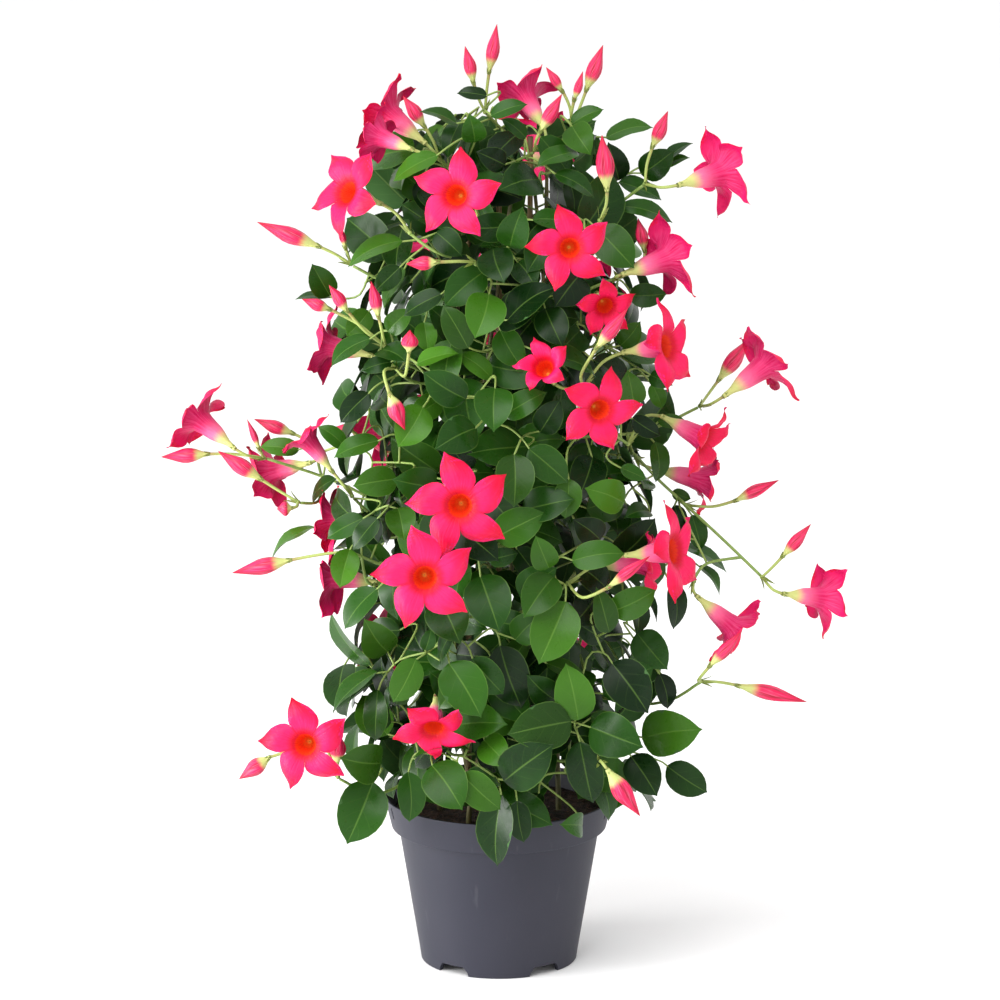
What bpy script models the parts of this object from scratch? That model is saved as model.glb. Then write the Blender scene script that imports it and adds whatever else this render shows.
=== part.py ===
# A potted climbing mandevilla: six leafy vines wound round three bamboo canes, with racemes of
# trumpet flowers and furled buds, in peat in a round nursery pot. Metres, +Z up, and the origin on
# the floor under the pot's axis. The front of the plant faces -Y.
import math
import random

import bmesh
import bpy
from mathutils import Matrix, Vector
from mathutils.bvhtree import BVHTree

# Driving dimensions of the pot, in metres.
RIM_RADIUS = 0.0850
POT_HEIGHT = 0.1250
BASE_RADIUS = 0.0578
BODY_TOP_RADIUS = 0.0742
COLLAR_RADIUS = 0.0792
COLLAR_HEIGHT = 0.0240
WALL = 0.0016
FLOOR_LIFT = 0.0080
FOOT_COUNT = 5
FOOT_DEPTH = 0.0040
NOTCH_WIDTH = 0.0245
NOTCH_HEIGHT = 0.0072
DRAIN_COUNT = 6
DRAIN_RADIUS = 0.0045
DRAIN_RING = 0.0360
SLOT_WIDTH = 0.0020
SLOT_LENGTH = 0.0090
SLOT_DROP = 0.0030
SLOT_AZIMUTHS = (-160, -20, 20, 160)
POT_STEPS = 28
SEAT_GAP = 0.0003

# Driving dimensions of the soil, the canes and the vines.
SOIL_TOP = 0.1110
SOIL_CROWN = 0.0030
BURIED = 0.0300
CANE_RADIUS = 0.0022
CANE_RING = 0.0260
CANE_TOPS = (0.612, 0.560, 0.575)
VINE_COUNT = 6
VINE_RADIUS = 0.0021
VINE_TIP_RADIUS = 0.0013
VINE_FOOT_RING = 0.0440
VINE_TOP_RING = 0.0350
VINE_TOP = 0.600
VINE_TWIST = math.radians(110)
TWIG_RADIUS = 0.0011
STALK_RADIUS = 0.00080
PEDICEL_RADIUS = 0.0010
KNUCKLE_RADIUS = 0.0018
CLEAR = 0.0004

# Driving dimensions of a flower and a leaf at full size.
TRUMPET = 0.038
THROAT_RADIUS = 0.0100
PETAL_REACH = 0.0385
BLADE = 0.0012
LEAF_LENGTH = 0.047
LEAF_SHAPE = 0.66
LONGEST_LEAF = 0.056

# The photograph's view, by which places on the plant are read: the size of one of its pixels at the
# pot's axis, how far off and how steeply it looks down, and the pixel and height at its middle.
PIXEL = 0.00073
VIEW_DISTANCE = 3.2
VIEW_PITCH = math.radians(12)
VIEW_HEIGHT = 0.347
MIDDLE_ACROSS = 499
MIDDLE_DOWN = 500
TO_VIEWER = Vector((0, -math.cos(VIEW_PITCH), math.sin(VIEW_PITCH)))

# The leaf canopy's radius at heights above the floor.
CANOPY = (
    (0.09, 0.104),
    (0.16, 0.118),
    (0.26, 0.122),
    (0.36, 0.122),
    (0.46, 0.116),
    (0.55, 0.098),
    (0.62, 0.070),
    (0.68, 0.030),
)

# Racemes that the photograph shows. Each is (across, down, near) of the point where its stalk
# begins, its flowers and its buds. near is metres in front of the pot's axis. A flower is
# (across, down, near) of its throat, the way it faces as degrees to the right of the viewer and
# up, the angle of one petal's tip, its size and how wide it has opened. A bud is where its stalk
# ends, where its tip is, near, and its girth in millimetres.
RACEMES = (
    ((440, 160, 0.030),
     ((390, 115, 0.020, -120, 32, 80, 0.92, 0.75), (382, 138, 0.052, -122, 14, 30, 0.72, 0.6)),
     ((425, 127, 403, 96, 0.035, 10),)),
    ((410, 233, 0.060), ((347, 192, 0.060, -48, 20, 64, 0.90, 0.9),), ()),
    ((482, 232, 0.062), ((456, 195, 0.120, -15, 10, 88, 0.85, 0.95),), ()),
    ((485, 112, 0.010), (), ((489, 73, 497, 24, 0.010, 9.5), (474, 84, 465, 46, 0.015, 9))),
    ((535, 150, 0.042), ((526, 99, 0.000, -150, 36, 100, 0.85, 0.7),), ((540, 132, 562, 94, 0.055, 10),)),
    ((572, 127, 0.020), (),
     ((563, 92, 546, 67, 0.020, 7), (574, 101, 583, 71, 0.034, 6), (586, 91, 603, 45, 0.010, 11))),
    ((645, 184, 0.040), ((718, 174, 0.045, 126, 8, 70, 0.97, 0.75),), ((652, 148, 668, 111, 0.025, 10),)),
    ((600, 220, 0.080), (), ((607, 191, 602, 135, 0.085, 13),)),
    ((583, 270, 0.060), ((570, 248, 0.135, 3, 6, 106, 0.80, 0.95),), ()),
    ((618, 277, 0.055), ((664, 260, 0.055, 121, 12, 85, 0.97, 0.75),), ((645, 252, 638, 218, 0.030, 9),)),
    ((583, 388, 0.085), ((667, 346, 0.090, 62, 12, 96, 0.93, 0.85),
      (544, 368, 0.120, -20, 34, 117, 0.72, 0.35)),
     ((596, 349, 628, 308, 0.128, 10),)),
    ((584, 430, 0.070), ((600, 410, 0.140, 20, -3, 76, 0.81, 0.95),), ()),
    ((600, 330, 0.040), ((605, 306, 0.092, 12, -12, 100, 0.66, 0.65),), ()),
    ((700, 406, 0.010), ((763, 367, 0.020, 112, 32, 100, 0.97, 0.75),), ((718, 381, 750, 338, -0.020, 12),)),
    ((628, 444, 0.060), ((702, 438, 0.050, 62, -22, 20, 0.92, 0.5),), ()),
    ((636, 458, 0.020), ((698, 479, 0.000, 94, -14, 60, 0.88, 0.35),), ()),
    ((686, 505, 0.010), (), ((734, 501, 779, 480, 0.010, 9),)),
    ((568, 583, 0.085), ((674, 551, 0.100, 66, 10, 100, 1.0, 0.9), (641, 563, 0.055, 80, 8, 40, 0.85, 0.4)),
     ((607, 588, 650, 556, 0.135, 8),)),
    ((762, 577, 0.050), ((820, 598, 0.045, 118, -12, 50, 0.86, 0.62),), ((782, 557, 811, 524, 0.050, 9),)),
    ((694, 581, 0.040), ((731, 626, 0.045, 92, -42, 60, 0.90, 0.6),), ()),
    ((701, 681, 0.055), (), ((736, 685, 807, 702, 0.055, 11), (709, 667, 742, 631, 0.090, 9))),
    ((386, 347, 0.060), (),
     ((331, 310, 302, 299, 0.050, 9), (348, 312, 329, 285, 0.065, 9), (379, 318, 371, 281, 0.078, 9))),
    ((396, 368, 0.060), ((330, 346, 0.030, -106, 10, 45, 0.86, 0.75),),
     ((409, 352, 410, 330, 0.118, 12), (389, 393, 405, 430, 0.112, 12))),
    ((474, 262, 0.092), (), ((439, 262, 406, 264, 0.120, 10),)),
    ((351, 264, 0.020), (), ((320, 247, 257, 222, 0.020, 12), (346, 249, 338, 223, 0.020, 5))),
    ((264, 458, -0.030), ((201, 421, -0.035, -118, 32, 100, 0.90, 0.75),),
     ((209, 454, 161, 457, -0.030, 11), (260, 450, 247, 419, -0.024, 5))),
    ((298, 502, 0.010), (), ((262, 480, 218, 451, 0.005, 12), (292, 508, 277, 509, 0.020, 11))),
    ((352, 496, 0.030), ((309, 442, 0.020, -104, 50, 110, 0.74, 0.5),), ()),
    ((322, 452, -0.035), ((273, 471, -0.035, -116, -16, 120, 0.88, 0.75),),
     ((294, 434, 254, 419, -0.040, 10), (352, 431, 335, 427, -0.012, 8))),
    ((350, 551, 0.050), (), ((291, 560, 232, 573, 0.045, 12),)),
    ((374, 585, 0.050), ((334, 577, 0.030, -104, 4, 100, 0.92, 0.9),), ()),
    ((370, 527, 0.015), ((334, 519, 0.000, -112, 4, 60, 0.78, 0.7),), ()),
    ((474, 523, 0.080), ((460, 506, 0.150, -3, 4, 107, 0.97, 1.0),), ()),
    ((440, 602, 0.090), ((425, 578, 0.172, 2, 4, 104, 0.95, 1.0),), ()),
    ((338, 777, 0.060), ((305, 745, 0.100, -12, 4, 107, 0.90, 0.95),),
     ((270, 757, 239, 779, 0.060, 12), (337, 764, 338, 731, 0.068, 12))),
    ((445, 745, 0.052), ((434, 729, 0.118, -2, -34, 126, 0.84, 0.8),), ()),
    ((600, 762, 0.100), (), ((607, 769, 640, 816, 0.124, 14),)),
)

# Racemes on the far side, which the photograph doesn't show: azimuth round the pot's axis (90 is
# straight behind), height, reach from the axis, the flower's size, and the number of buds.
FAR_RACEMES = (
    (68, 0.590, 0.104, 0.95, 1),
    (112, 0.520, 0.122, 1.00, 0),
    (84, 0.440, 0.150, 1.00, 2),
    (58, 0.480, 0.130, 0.90, 0),
    (124, 0.380, 0.140, 1.00, 1),
    (62, 0.330, 0.146, 1.00, 1),
    (98, 0.290, 0.169, 0.95, 1),
    (128, 0.220, 0.138, 1.00, 0),
    (72, 0.190, 0.146, 0.90, 1),
)

# Leaves that the photograph shows: (across, down) of the blade's base and of its tip, the width
# that shows, all in its pixels, and how many layers the leaf lies behind the canopy's face.
LEAVES = (
    (457, 124, 421, 109, 13, 0), (438, 157, 389, 184, 21, 0), (487, 96, 457, 92, 14, 0),
    (491, 116, 527, 103, 17, 0), (475, 142, 470, 116, 24, 0), (526, 138, 502, 118, 15, 1),
    (462, 120, 447, 158, 20, 1), (571, 126, 603, 110, 17, 1), (572, 126, 590, 153, 30, 0),
    (606, 138, 652, 124, 18, 0), (619, 180, 609, 144, 28, 0), (641, 174, 673, 151, 30, 0),
    (664, 164, 692, 142, 11, 1), (664, 168, 689, 156, 11, 1), (619, 182, 662, 199, 19, 0),
    (620, 206, 673, 221, 19, 0), (555, 174, 595, 197, 18, 0), (577, 152, 537, 163, 19, 0),
    (505, 165, 478, 152, 24, 1), (597, 229, 634, 268, 38, 0), (629, 296, 667, 294, 24, 0),
    (510, 247, 522, 209, 31, 0), (493, 249, 504, 282, 36, 0), (489, 294, 475, 338, 40, 0),
    (468, 348, 443, 305, 28, 0), (545, 308, 562, 346, 33, 0), (518, 262, 535, 287, 28, 1),
    (592, 305, 551, 296, 19, 1), (402, 241, 347, 265, 20, 0), (400, 267, 375, 291, 22, 0),
    (405, 268, 381, 308, 15, 1), (442, 294, 403, 315, 21, 0), (330, 296, 312, 264, 27, 0),
    (330, 297, 295, 298, 9, 0), (371, 339, 329, 364, 19, 0), (369, 311, 346, 336, 24, 1),
    (392, 362, 361, 371, 17, 1), (398, 363, 398, 398, 27, 0), (424, 322, 428, 353, 22, 1),
    (417, 364, 458, 352, 16, 0), (369, 393, 340, 423, 25, 0), (423, 407, 398, 447, 35, 0),
    (466, 399, 423, 372, 33, 0), (495, 388, 494, 430, 38, 0), (476, 428, 437, 448, 37, 0),
    (504, 416, 546, 391, 25, 0), (491, 378, 458, 353, 20, 1), (345, 447, 318, 426, 18, 0),
    (299, 450, 260, 446, 19, 0), (379, 441, 333, 456, 20, 1), (397, 479, 353, 486, 30, 0),
    (436, 488, 395, 480, 36, 0), (314, 527, 267, 558, 9, 0), (364, 518, 326, 538, 22, 0),
    (378, 518, 352, 550, 20, 0), (350, 549, 340, 588, 28, 0), (313, 497, 336, 478, 15, 1),
    (398, 508, 404, 539, 30, 1), (377, 589, 344, 629, 25, 0), (388, 652, 366, 622, 36, 1),
    (529, 449, 568, 483, 33, 0), (514, 454, 514, 507, 38, 0), (495, 538, 545, 513, 36, 0),
    (569, 479, 565, 519, 27, 0), (624, 503, 587, 489, 34, 0), (572, 561, 625, 553, 28, 0),
    (549, 568, 536, 537, 27, 0), (488, 560, 518, 553, 19, 0), (480, 576, 499, 631, 46, 0),
    (440, 600, 459, 641, 44, 1), (425, 650, 431, 629, 15, 0), (566, 602, 539, 664, 47, 0),
    (472, 659, 504, 695, 30, 0), (500, 646, 522, 709, 42, 1), (449, 663, 481, 717, 45, 0),
    (416, 659, 393, 703, 30, 0), (378, 690, 375, 742, 25, 0), (377, 672, 331, 711, 15, 0),
    (396, 704, 404, 680, 20, 1), (578, 720, 566, 664, 40, 0), (571, 721, 509, 734, 47, 0),
    (590, 727, 642, 747, 45, 0), (580, 742, 592, 805, 38, 0), (612, 663, 648, 713, 45, 0),
    (637, 633, 667, 669, 35, 1), (659, 673, 668, 709, 21, 0), (642, 738, 700, 730, 47, 1),
    (631, 756, 657, 796, 36, 0), (667, 766, 708, 793, 33, 0), (504, 781, 552, 746, 46, 0),
    (502, 795, 496, 867, 35, 0), (517, 801, 524, 843, 25, 0), (462, 773, 501, 809, 33, 0),
    (432, 765, 462, 809, 45, 0), (408, 772, 410, 823, 28, 0), (373, 782, 347, 844, 49, 0),
    (381, 763, 341, 758, 41, 0), (484, 740, 508, 765, 32, 1), (414, 758, 468, 744, 16, 0),
    (634, 405, 628, 372, 27, 0), (650, 375, 672, 385, 19, 0), (652, 384, 662, 409, 17, 1),
    (632, 418, 661, 436, 20, 1), (658, 421, 690, 427, 15, 0), (655, 442, 658, 483, 20, 0),
    (620, 468, 648, 480, 16, 1), (650, 512, 626, 516, 17, 0), (672, 492, 691, 499, 13, 0),
    (674, 505, 682, 541, 18, 0), (692, 515, 702, 551, 21, 0), (682, 546, 728, 570, 13, 0),
    (699, 566, 722, 593, 10, 0), (611, 612, 656, 590, 31, 0), (609, 632, 598, 588, 25, 0),
    (672, 583, 675, 630, 21, 0), (600, 540, 574, 520, 30, 1), (455, 560, 440, 585, 26, 1),
    (604, 640, 575, 622, 24, 1), (540, 432, 560, 400, 28, 1), (470, 470, 448, 440, 28, 1),
    (500, 330, 522, 368, 30, 1), (600, 250, 588, 222, 22, 1), (436, 232, 462, 256, 26, 1),
    (388, 332, 412, 310, 22, 1), (440, 400, 410, 418, 26, 2), (620, 346, 640, 322, 22, 1),
    (515, 640, 545, 612, 30, 1), (456, 690, 430, 672, 30, 1), (556, 700, 528, 676, 30, 1),
)

# Leafy sprigs round the sides and back: how many, the golden angle that spreads them, the share of
# the canopy's radius at which their leaves begin, and the front that they leave free.
FAR_SPRIGS = 27
GOLDEN_TURN = math.radians(137.508)
SPRIG_REACH = 0.74
FRONT_SECTOR = math.radians(66)


def seen(across, down, near):
    """The point that the photograph shows at a pixel, near metres in front of the pot's axis."""
    right = (across - MIDDLE_ACROSS) * PIXEL / VIEW_DISTANCE
    rise = (MIDDLE_DOWN - down) * PIXEL / VIEW_DISTANCE
    ahead = math.cos(VIEW_PITCH) + rise * math.sin(VIEW_PITCH)
    way = (VIEW_DISTANCE * math.cos(VIEW_PITCH) - near) / ahead
    sink = rise * math.cos(VIEW_PITCH) - math.sin(VIEW_PITCH)
    return Vector((right * way, -near, VIEW_HEIGHT + VIEW_DISTANCE * math.sin(VIEW_PITCH) + sink * way))


def canopy_radius(height):
    """The leaf canopy's radius at a height above the floor."""
    for (low, narrow), (high, wide) in zip(CANOPY, CANOPY[1:]):
        if height <= high:
            return narrow + (wide - narrow) * max(0.0, (height - low) / (high - low))
    return CANOPY[-1][1]


def nearness(across, down, layers):
    """How far in front of the axis the canopy's face is at a pixel, less 16 mm for each layer."""
    near = 0.0
    for _ in range(4):
        point = seen(across, down, near)
        radius = canopy_radius(point.z)
        near = math.sqrt(max(0.0, radius**2 - point.x**2)) * 0.92 - 0.016 * layers
    return near


def aim(yaw, pitch):
    """The direction that is yaw degrees right of the viewer and pitch degrees up."""
    turn, rise = math.radians(yaw), math.radians(pitch)
    return Vector((math.sin(turn) * math.cos(rise), -math.cos(turn) * math.cos(rise), math.sin(rise)))


def bezier(start, middle, end, count):
    """Points along a quadratic curve, both ends included."""
    shares = [i / (count - 1) for i in range(count)]
    return [start * (1 - s) ** 2 + middle * 2 * s * (1 - s) + end * s**2 for s in shares]


def loft(sections):
    """Points and faces that skin sections one after another. One point closes an end, and other
    ends are capped. Quads are split from even points to odd ones, so both faces split alike."""
    points = [point for section in sections for point in section]
    faces = []
    low = 0
    for section, following in zip(sections, sections[1:]):
        high = low + len(section)
        count = max(len(section), len(following))
        for i in range(count):
            j = (i + 1) % count
            if len(section) == 1:
                faces.append((low, high + j, high + i))
            elif len(following) == 1:
                faces.append((low + i, low + j, high))
            elif i % 2 == 0:
                faces += [(low + i, low + j, high + j), (low + i, high + j, high + i)]
            else:
                faces += [(low + i, low + j, high + i), (low + j, high + j, high + i)]
        low = high
    for first, section in ((0, sections[0]), (low, sections[-1])):
        if len(section) > 2:
            faces.append(tuple(range(first, first + len(section))))
    return points, faces


def ring(centre, along, side, radius, sides):
    """Points round a circle that faces along."""
    other = along.cross(side).normalized()
    turns = [2 * math.pi * i / sides for i in range(sides)]
    return [centre + (side * math.cos(t) + other * math.sin(t)) * radius for t in turns]


def stem_skin(path, thick, thin, grow):
    """A tapering stem along a path, with four sides."""
    sections = []
    side = None
    last = len(path) - 1
    for i, point in enumerate(path):
        along = (path[min(i + 1, last)] - path[max(i - 1, 0)]).normalized()
        side = along.orthogonal() if side is None else side - along * side.dot(along)
        side.normalize()
        sections.append(ring(point, along, side, thick + (thin - thick) * i / last + grow, 4))
    return loft(sections)


# Shares of a blade's length and of its half width, and how much it folds and arches.
BLADE_STATIONS = ((0.0, 0.08), (0.22, 0.84), (0.58, 0.92))
LEAF_FOLD = 0.20
LEAF_ARCH = 0.07


def blade_sections(base, tip, width, up, grow):
    """Sections of a folded and arched leaf blade, with sharp edges and a point."""
    along = tip - base
    side = along.cross(up).normalized()
    lift = side.cross(along).normalized()
    sections = []
    for share, spread in BLADE_STATIONS:
        centre = base + along * share + lift * (LEAF_ARCH * along.length * 4 * share * (1 - share))
        half = side * (width / 2 * spread + grow)
        rise = lift * (width / 2 * spread * LEAF_FOLD)
        thick = lift * (BLADE / 2 + grow)
        sections.append([centre - half + rise, centre + thick, centre + half + rise, centre - thick])
    return [*sections, [tip + along.normalized() * grow]]


def leaf_skin(stalk, base, tip, width, up, grow):
    """A leaf with its stalk, whose path begins in the wood that carries it."""
    side = (tip - base).cross(up).normalized()
    sections = blade_sections(base, tip, width, up, grow)
    route = [*stalk, base]
    for point, following in reversed(list(zip(route, route[1:]))):
        along = (following - point).normalized()
        side = (side - along * side.dot(along)).normalized()
        lift = side.cross(along)
        half, thick = side * (STALK_RADIUS + grow), lift * (STALK_RADIUS * 0.8 + grow)
        sections.insert(0, [point - half, point + thick, point + half, point - thick])
    return loft(sections)


# A petal's outline: the notches beside it, and the radius and turn of its two shoulders and tip.
PETALS = 5
NOTCH_TURN = math.radians(36)
NOTCH_RADIUS = 0.0185
PETAL_LEAN = math.radians(16)
SHOULDERS = ((0.0270, math.radians(31)), (0.0250, -math.radians(25)))

# How far forward a petal runs for its reach where the flower hasn't opened flat.
FLARE = 1.6


def flower_axes(facing, roll):
    """Two directions across a flower, the first turned by roll degrees from the level."""
    level = Vector((0, 0, 1)).cross(facing)
    level = level.normalized() if level.length > 1e-3 else Vector((1, 0, 0))
    rise = facing.cross(level).normalized()
    turn = math.radians(roll)
    return level * math.cos(turn) + rise * math.sin(turn), rise * math.cos(turn) - level * math.sin(turn)


def corolla_skin(throat, facing, roll, size, spread):
    """A trumpet, hollow at the throat, that flares into five petals with tips leaning one way."""
    across, over = flower_axes(facing, roll)
    points, faces = [], []

    def row(radius, turns, forward):
        first = len(points)
        for turn in turns:
            spoke = across * math.cos(turn) + over * math.sin(turn)
            points.append(throat + (spoke * radius + facing * forward) * size)
        return list(range(first, len(points)))

    opened = 0.35 + 0.65 * spread

    def petal(radius, turn, forward):
        radius = THROAT_RADIUS + (radius - THROAT_RADIUS) * opened
        return row(radius, [turn], forward + (radius - THROAT_RADIUS) * (1 - spread) * FLARE)[0]

    middles = [2 * math.pi * k / PETALS - PETAL_LEAN for k in range(PETALS)]
    gaps = [m - NOTCH_TURN for m in middles]
    notches = [petal(NOTCH_RADIUS, gap, 0.0028) for gap in gaps]
    mouth_in = row(THROAT_RADIUS * 0.92, gaps, 0.0004)
    mouth_out = row(THROAT_RADIUS * 1.02, gaps, -0.0016)
    waist = row(0.0068, gaps, -0.017)
    foot = row(0.0018, gaps, -TRUMPET)
    deep = row(0.0, [0.0], -0.020)[0]
    for i in range(PETALS):
        j = (i + 1) % PETALS
        faces.append((mouth_in[i], mouth_in[j], deep))
        for wide, narrow in ((mouth_out, waist), (waist, foot)):
            faces += [(wide[i], narrow[i], narrow[j]), (wide[i], narrow[j], wide[j])]
        middle = middles[i]
        turned = 0.6 + 0.4 * opened
        rims = [petal(radius, middle + turn * turned, 0.002) for radius, turn in SHOULDERS]
        tip = petal(PETAL_REACH, middle + PETAL_LEAN, -0.004)
        for forward, mouth in ((0.0042, mouth_in), (0.0026, mouth_out)):
            centre = petal(0.0220, middle, forward)
            outline = [mouth[i], mouth[j], notches[j], rims[0], tip, rims[1], notches[i], mouth[i]]
            faces += [(centre, a, b) for a, b in zip(outline, outline[1:])]
    faces.append(tuple(foot))
    return points, faces


# Shares of a bud's length and girth.
BUD_STATIONS = ((0.0, 0.26), (0.42, 1.0), (0.74, 0.56))


def bud_skin(base, tip, girth):
    """A furled bud with a long point."""
    along = tip - base
    side = along.orthogonal().normalized()
    way = along.normalized()
    sections = [ring(base + along * s, way, side, girth / 2 * g, 4) for s, g in BUD_STATIONS]
    return loft([*sections, [tip]])


def shape(skin):
    """The box and search tree of a skin, to test what would cross it."""
    points, faces = skin
    low = [min(p[i] for p in points) for i in range(3)]
    high = [max(p[i] for p in points) for i in range(3)]
    return low, high, BVHTree.FromPolygons(points, faces)


def crosses(one, others):
    """Whether a shape's faces cut those of any other."""
    (x0, y0, z0), (x1, y1, z1), tree = one
    for low, high, other in others:
        if x0 > high[0] or x1 < low[0] or y0 > high[1] or y1 < low[1] or z0 > high[2] or z1 < low[2]:
            continue
        if tree.overlap(other):
            return True
    return False


class Plant:
    """What has grown so far. Stems are (vine, path, thick, thin), leaves are (vine, stalk, base,
    tip, width, up), and racemes are (place, flowers, buds, stalks)."""

    def __init__(self):
        self.stems = []
        self.leaves = []
        self.racemes = []
        self.forks = []
        self.flowers = []
        self.blades = []
        self.canes = []
        self.wood = {vine: [] for vine in range(VINE_COUNT)}
        for vine in range(VINE_COUNT):
            self.add_stem(vine, vine_path(vine), VINE_RADIUS, VINE_TIP_RADIUS)
        for number, top in enumerate(CANE_TOPS):
            foot = cane_foot(number)
            path = [foot, Vector((foot.x, foot.y, top))]
            self.canes.append(shape(stem_skin(path, CANE_RADIUS, CANE_RADIUS, CLEAR)))
        ends = (0.030, POT_HEIGHT + CLEAR)
        up, right = Vector((0, 0, 1)), Vector((1, 0, 0))
        guard = [ring(up * z, up, right, RIM_RADIUS + CLEAR, 24) for z in ends]
        self.pot = shape(loft(guard))

    def add_stem(self, vine, path, thick, thin):
        """Keeps a stem."""
        self.stems.append((vine, path, thick, thin))
        self.add_forks(vine, path, thick)

    def add_forks(self, vine, path, thick):
        """Keeps the places along a path that others can grow from."""
        self.wood[vine].append(shape(stem_skin(path, thick, thick, 0)))
        for start, end in zip(path, path[1:]):
            steps = max(1, round((end - start).length / 0.007))
            for i in range(1, steps + 1):
                point = start.lerp(end, i / steps)
                if point.z > POT_HEIGHT + 0.008:
                    self.forks.append((point, vine))

    def blocked(self, one, own=None):
        """Whether a shape would cut anything but its own vine's wood."""
        groups = [self.flowers, self.canes, [self.pot], self.blades]
        groups += [wood for vine, wood in self.wood.items() if vine != own]
        return any(crosses(one, group) for group in groups)

    def route(self, end, way):
        """The vine and path of a twig that reaches end along way, from the nearest wood that has a
        clear way there."""
        ranked = sorted(self.forks, key=lambda f: (f[0] - end).length + 0.7 * max(0.0, f[0].z - end.z))
        for bend in (0.42, 0.25, 0.60):
            for start, vine in ranked[:30]:
                gap = (end - start).length
                if gap < 0.005:
                    continue
                straight = gap < 0.02 and (end - start).dot(way) > 0.7 * gap
                path = bezier(start, end - way * (bend * gap), end, 2 if straight else 3)
                probe = [*path[:-1], path[-1] + (path[-1] - path[-2]).normalized() * CLEAR]
                if not self.blocked(shape(stem_skin(probe, TWIG_RADIUS, TWIG_RADIUS, CLEAR)), vine):
                    return vine, path
        return None, []

    def grow(self, end, way):
        """Grows a twig that reaches end along way."""
        vine, path = self.route(end, way)
        if vine is not None:
            self.add_stem(vine, path, TWIG_RADIUS, TWIG_RADIUS)
        return vine

    def place_leaf(self, base, tip, width, up, out, tries):
        """Places a leaf near where it is asked for, clear of everything, on the nearest wood."""
        for shift, roll, shrink in tries:
            start = base + out * shift
            end = start + (tip - base) * shrink
            way = (end - start).normalized()
            face = Matrix.Rotation(math.radians(roll), 3, way) @ up
            wide = width * shrink
            if self.blocked(shape(loft(blade_sections(start, end, wide, face, CLEAR)))):
                continue
            near = [(p, v) for p, v in self.forks if 0.005 < (p - start).length < 0.018]
            near = [(p, v) for p, v in near if (start - p).dot(way) > 0.1 * (start - p).length]
            near.sort(key=lambda f: (f[0] - start).length)
            for root, vine in near[:6]:
                if self.add_leaf(vine, [root], start, end, wide, face):
                    return True
            level = Vector((start.x, start.y, 0))
            back = (way + level.normalized() * 0.9 - Vector((0, 0, 0.5))).normalized()
            root = start - back * 0.010
            vine, path = self.route(root, back)
            if vine is not None and self.add_leaf(vine, path, start, end, wide, face):
                self.add_forks(vine, path, STALK_RADIUS)
                return True
        return False

    def add_leaf(self, vine, stalk, base, tip, width, up):
        """Keeps a leaf if the end of its stalk is clear."""
        ends = [stalk[-1], base]
        if self.blocked(shape(stem_skin(ends, STALK_RADIUS, STALK_RADIUS, CLEAR)), vine):
            return False
        self.leaves.append((vine, stalk, base, tip, width, up))
        self.blades.append(shape(loft(blade_sections(base, tip, width, up, 0))))
        self.wood[vine].append(shape(stem_skin(ends, STALK_RADIUS, STALK_RADIUS, 0)))
        return True

    def add_raceme(self, start, flowers, buds):
        """Keeps a raceme, moved nearer or farther until it is clear, and grows a twig to it."""
        for shift in (0, 0.006, -0.006, 0.012, -0.012, 0.018, -0.018):
            place, corollas, furled = start(shift), flowers(shift), buds(shift)
            skins = [corolla_skin(*flower) for flower in corollas]
            skins += [bud_skin(*bud) for bud in furled]
            stalks = []
            for throat, facing, _, size, _ in corollas:
                foot = throat - facing * (TRUMPET * size)
                stalks.append(bezier(place, foot - facing * ((foot - place).length * 0.45), foot, 3))
            for base, tip, _ in furled:
                way = (tip - base).normalized()
                stalks.append(bezier(place, base - way * ((base - place).length * 0.45), base, 3))
            skins += [stem_skin(path, PEDICEL_RADIUS, PEDICEL_RADIUS, 0) for path in stalks]
            lift = Vector((0, 0, KNUCKLE_RADIUS))
            belt = ring(place, lift.normalized(), Vector((1, 0, 0)), KNUCKLE_RADIUS, 4)
            skins.append(loft([[place - lift], belt, [place + lift]]))
            shapes = [shape(skin) for skin in skins]
            wood = [one for group in self.wood.values() for one in group]
            if not any(crosses(one, self.flowers + self.canes + wood + [self.pot]) for one in shapes):
                break
        else:
            return False
        mean = sum((path[1] - place for path in stalks), Vector()).normalized()
        self.flowers += shapes
        for gap in (0.75, 0.95, 1.2, 1.5):
            for lift in (0, 0.8, -0.8):
                way = (mean + Vector((0, 0, lift))).normalized()
                if self.grow(place - way * (KNUCKLE_RADIUS * gap), way) is not None:
                    self.racemes.append((place, corollas, furled, stalks))
                    return True
        del self.flowers[-len(shapes):]
        return False


def vine_path(vine):
    """A vine's centreline: upright in the soil, then wound round the canes."""
    heights = [SOIL_TOP - BURIED + SEAT_GAP, SOIL_TOP + 0.008]
    count = 14
    heights += [heights[1] + (VINE_TOP - heights[1]) * (i + 1) / count for i in range(count)]
    path = []
    for height in heights:
        share = max(0.0, (height - heights[1]) / (VINE_TOP - heights[1]))
        turn = 2 * math.pi * vine / VINE_COUNT + VINE_TWIST * share
        reach = VINE_FOOT_RING + (VINE_TOP_RING - VINE_FOOT_RING) * share
        path.append(Vector((reach * math.cos(turn), reach * math.sin(turn), height)))
    return path


def cane_foot(number):
    """The foot of a cane, in the soil."""
    turn = 2 * math.pi * number / len(CANE_TOPS) + math.radians(30)
    return Vector((CANE_RING * math.cos(turn), CANE_RING * math.sin(turn), SOIL_TOP - BURIED + SEAT_GAP))


def flower_from(entry, shift):
    """A flower from its row: throat, facing, roll, size and spread."""
    across, down, near, yaw, pitch, roll, size, spread = entry
    return seen(across, down, near + shift), aim(yaw, pitch), roll, size, spread


def bud_from(entry, shift):
    """A bud from its row: base, tip and girth."""
    x0, y0, x1, y1, near, girth = entry
    return seen(x0, y0, near + shift), seen(x1, y1, near + shift), girth / 1000


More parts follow.
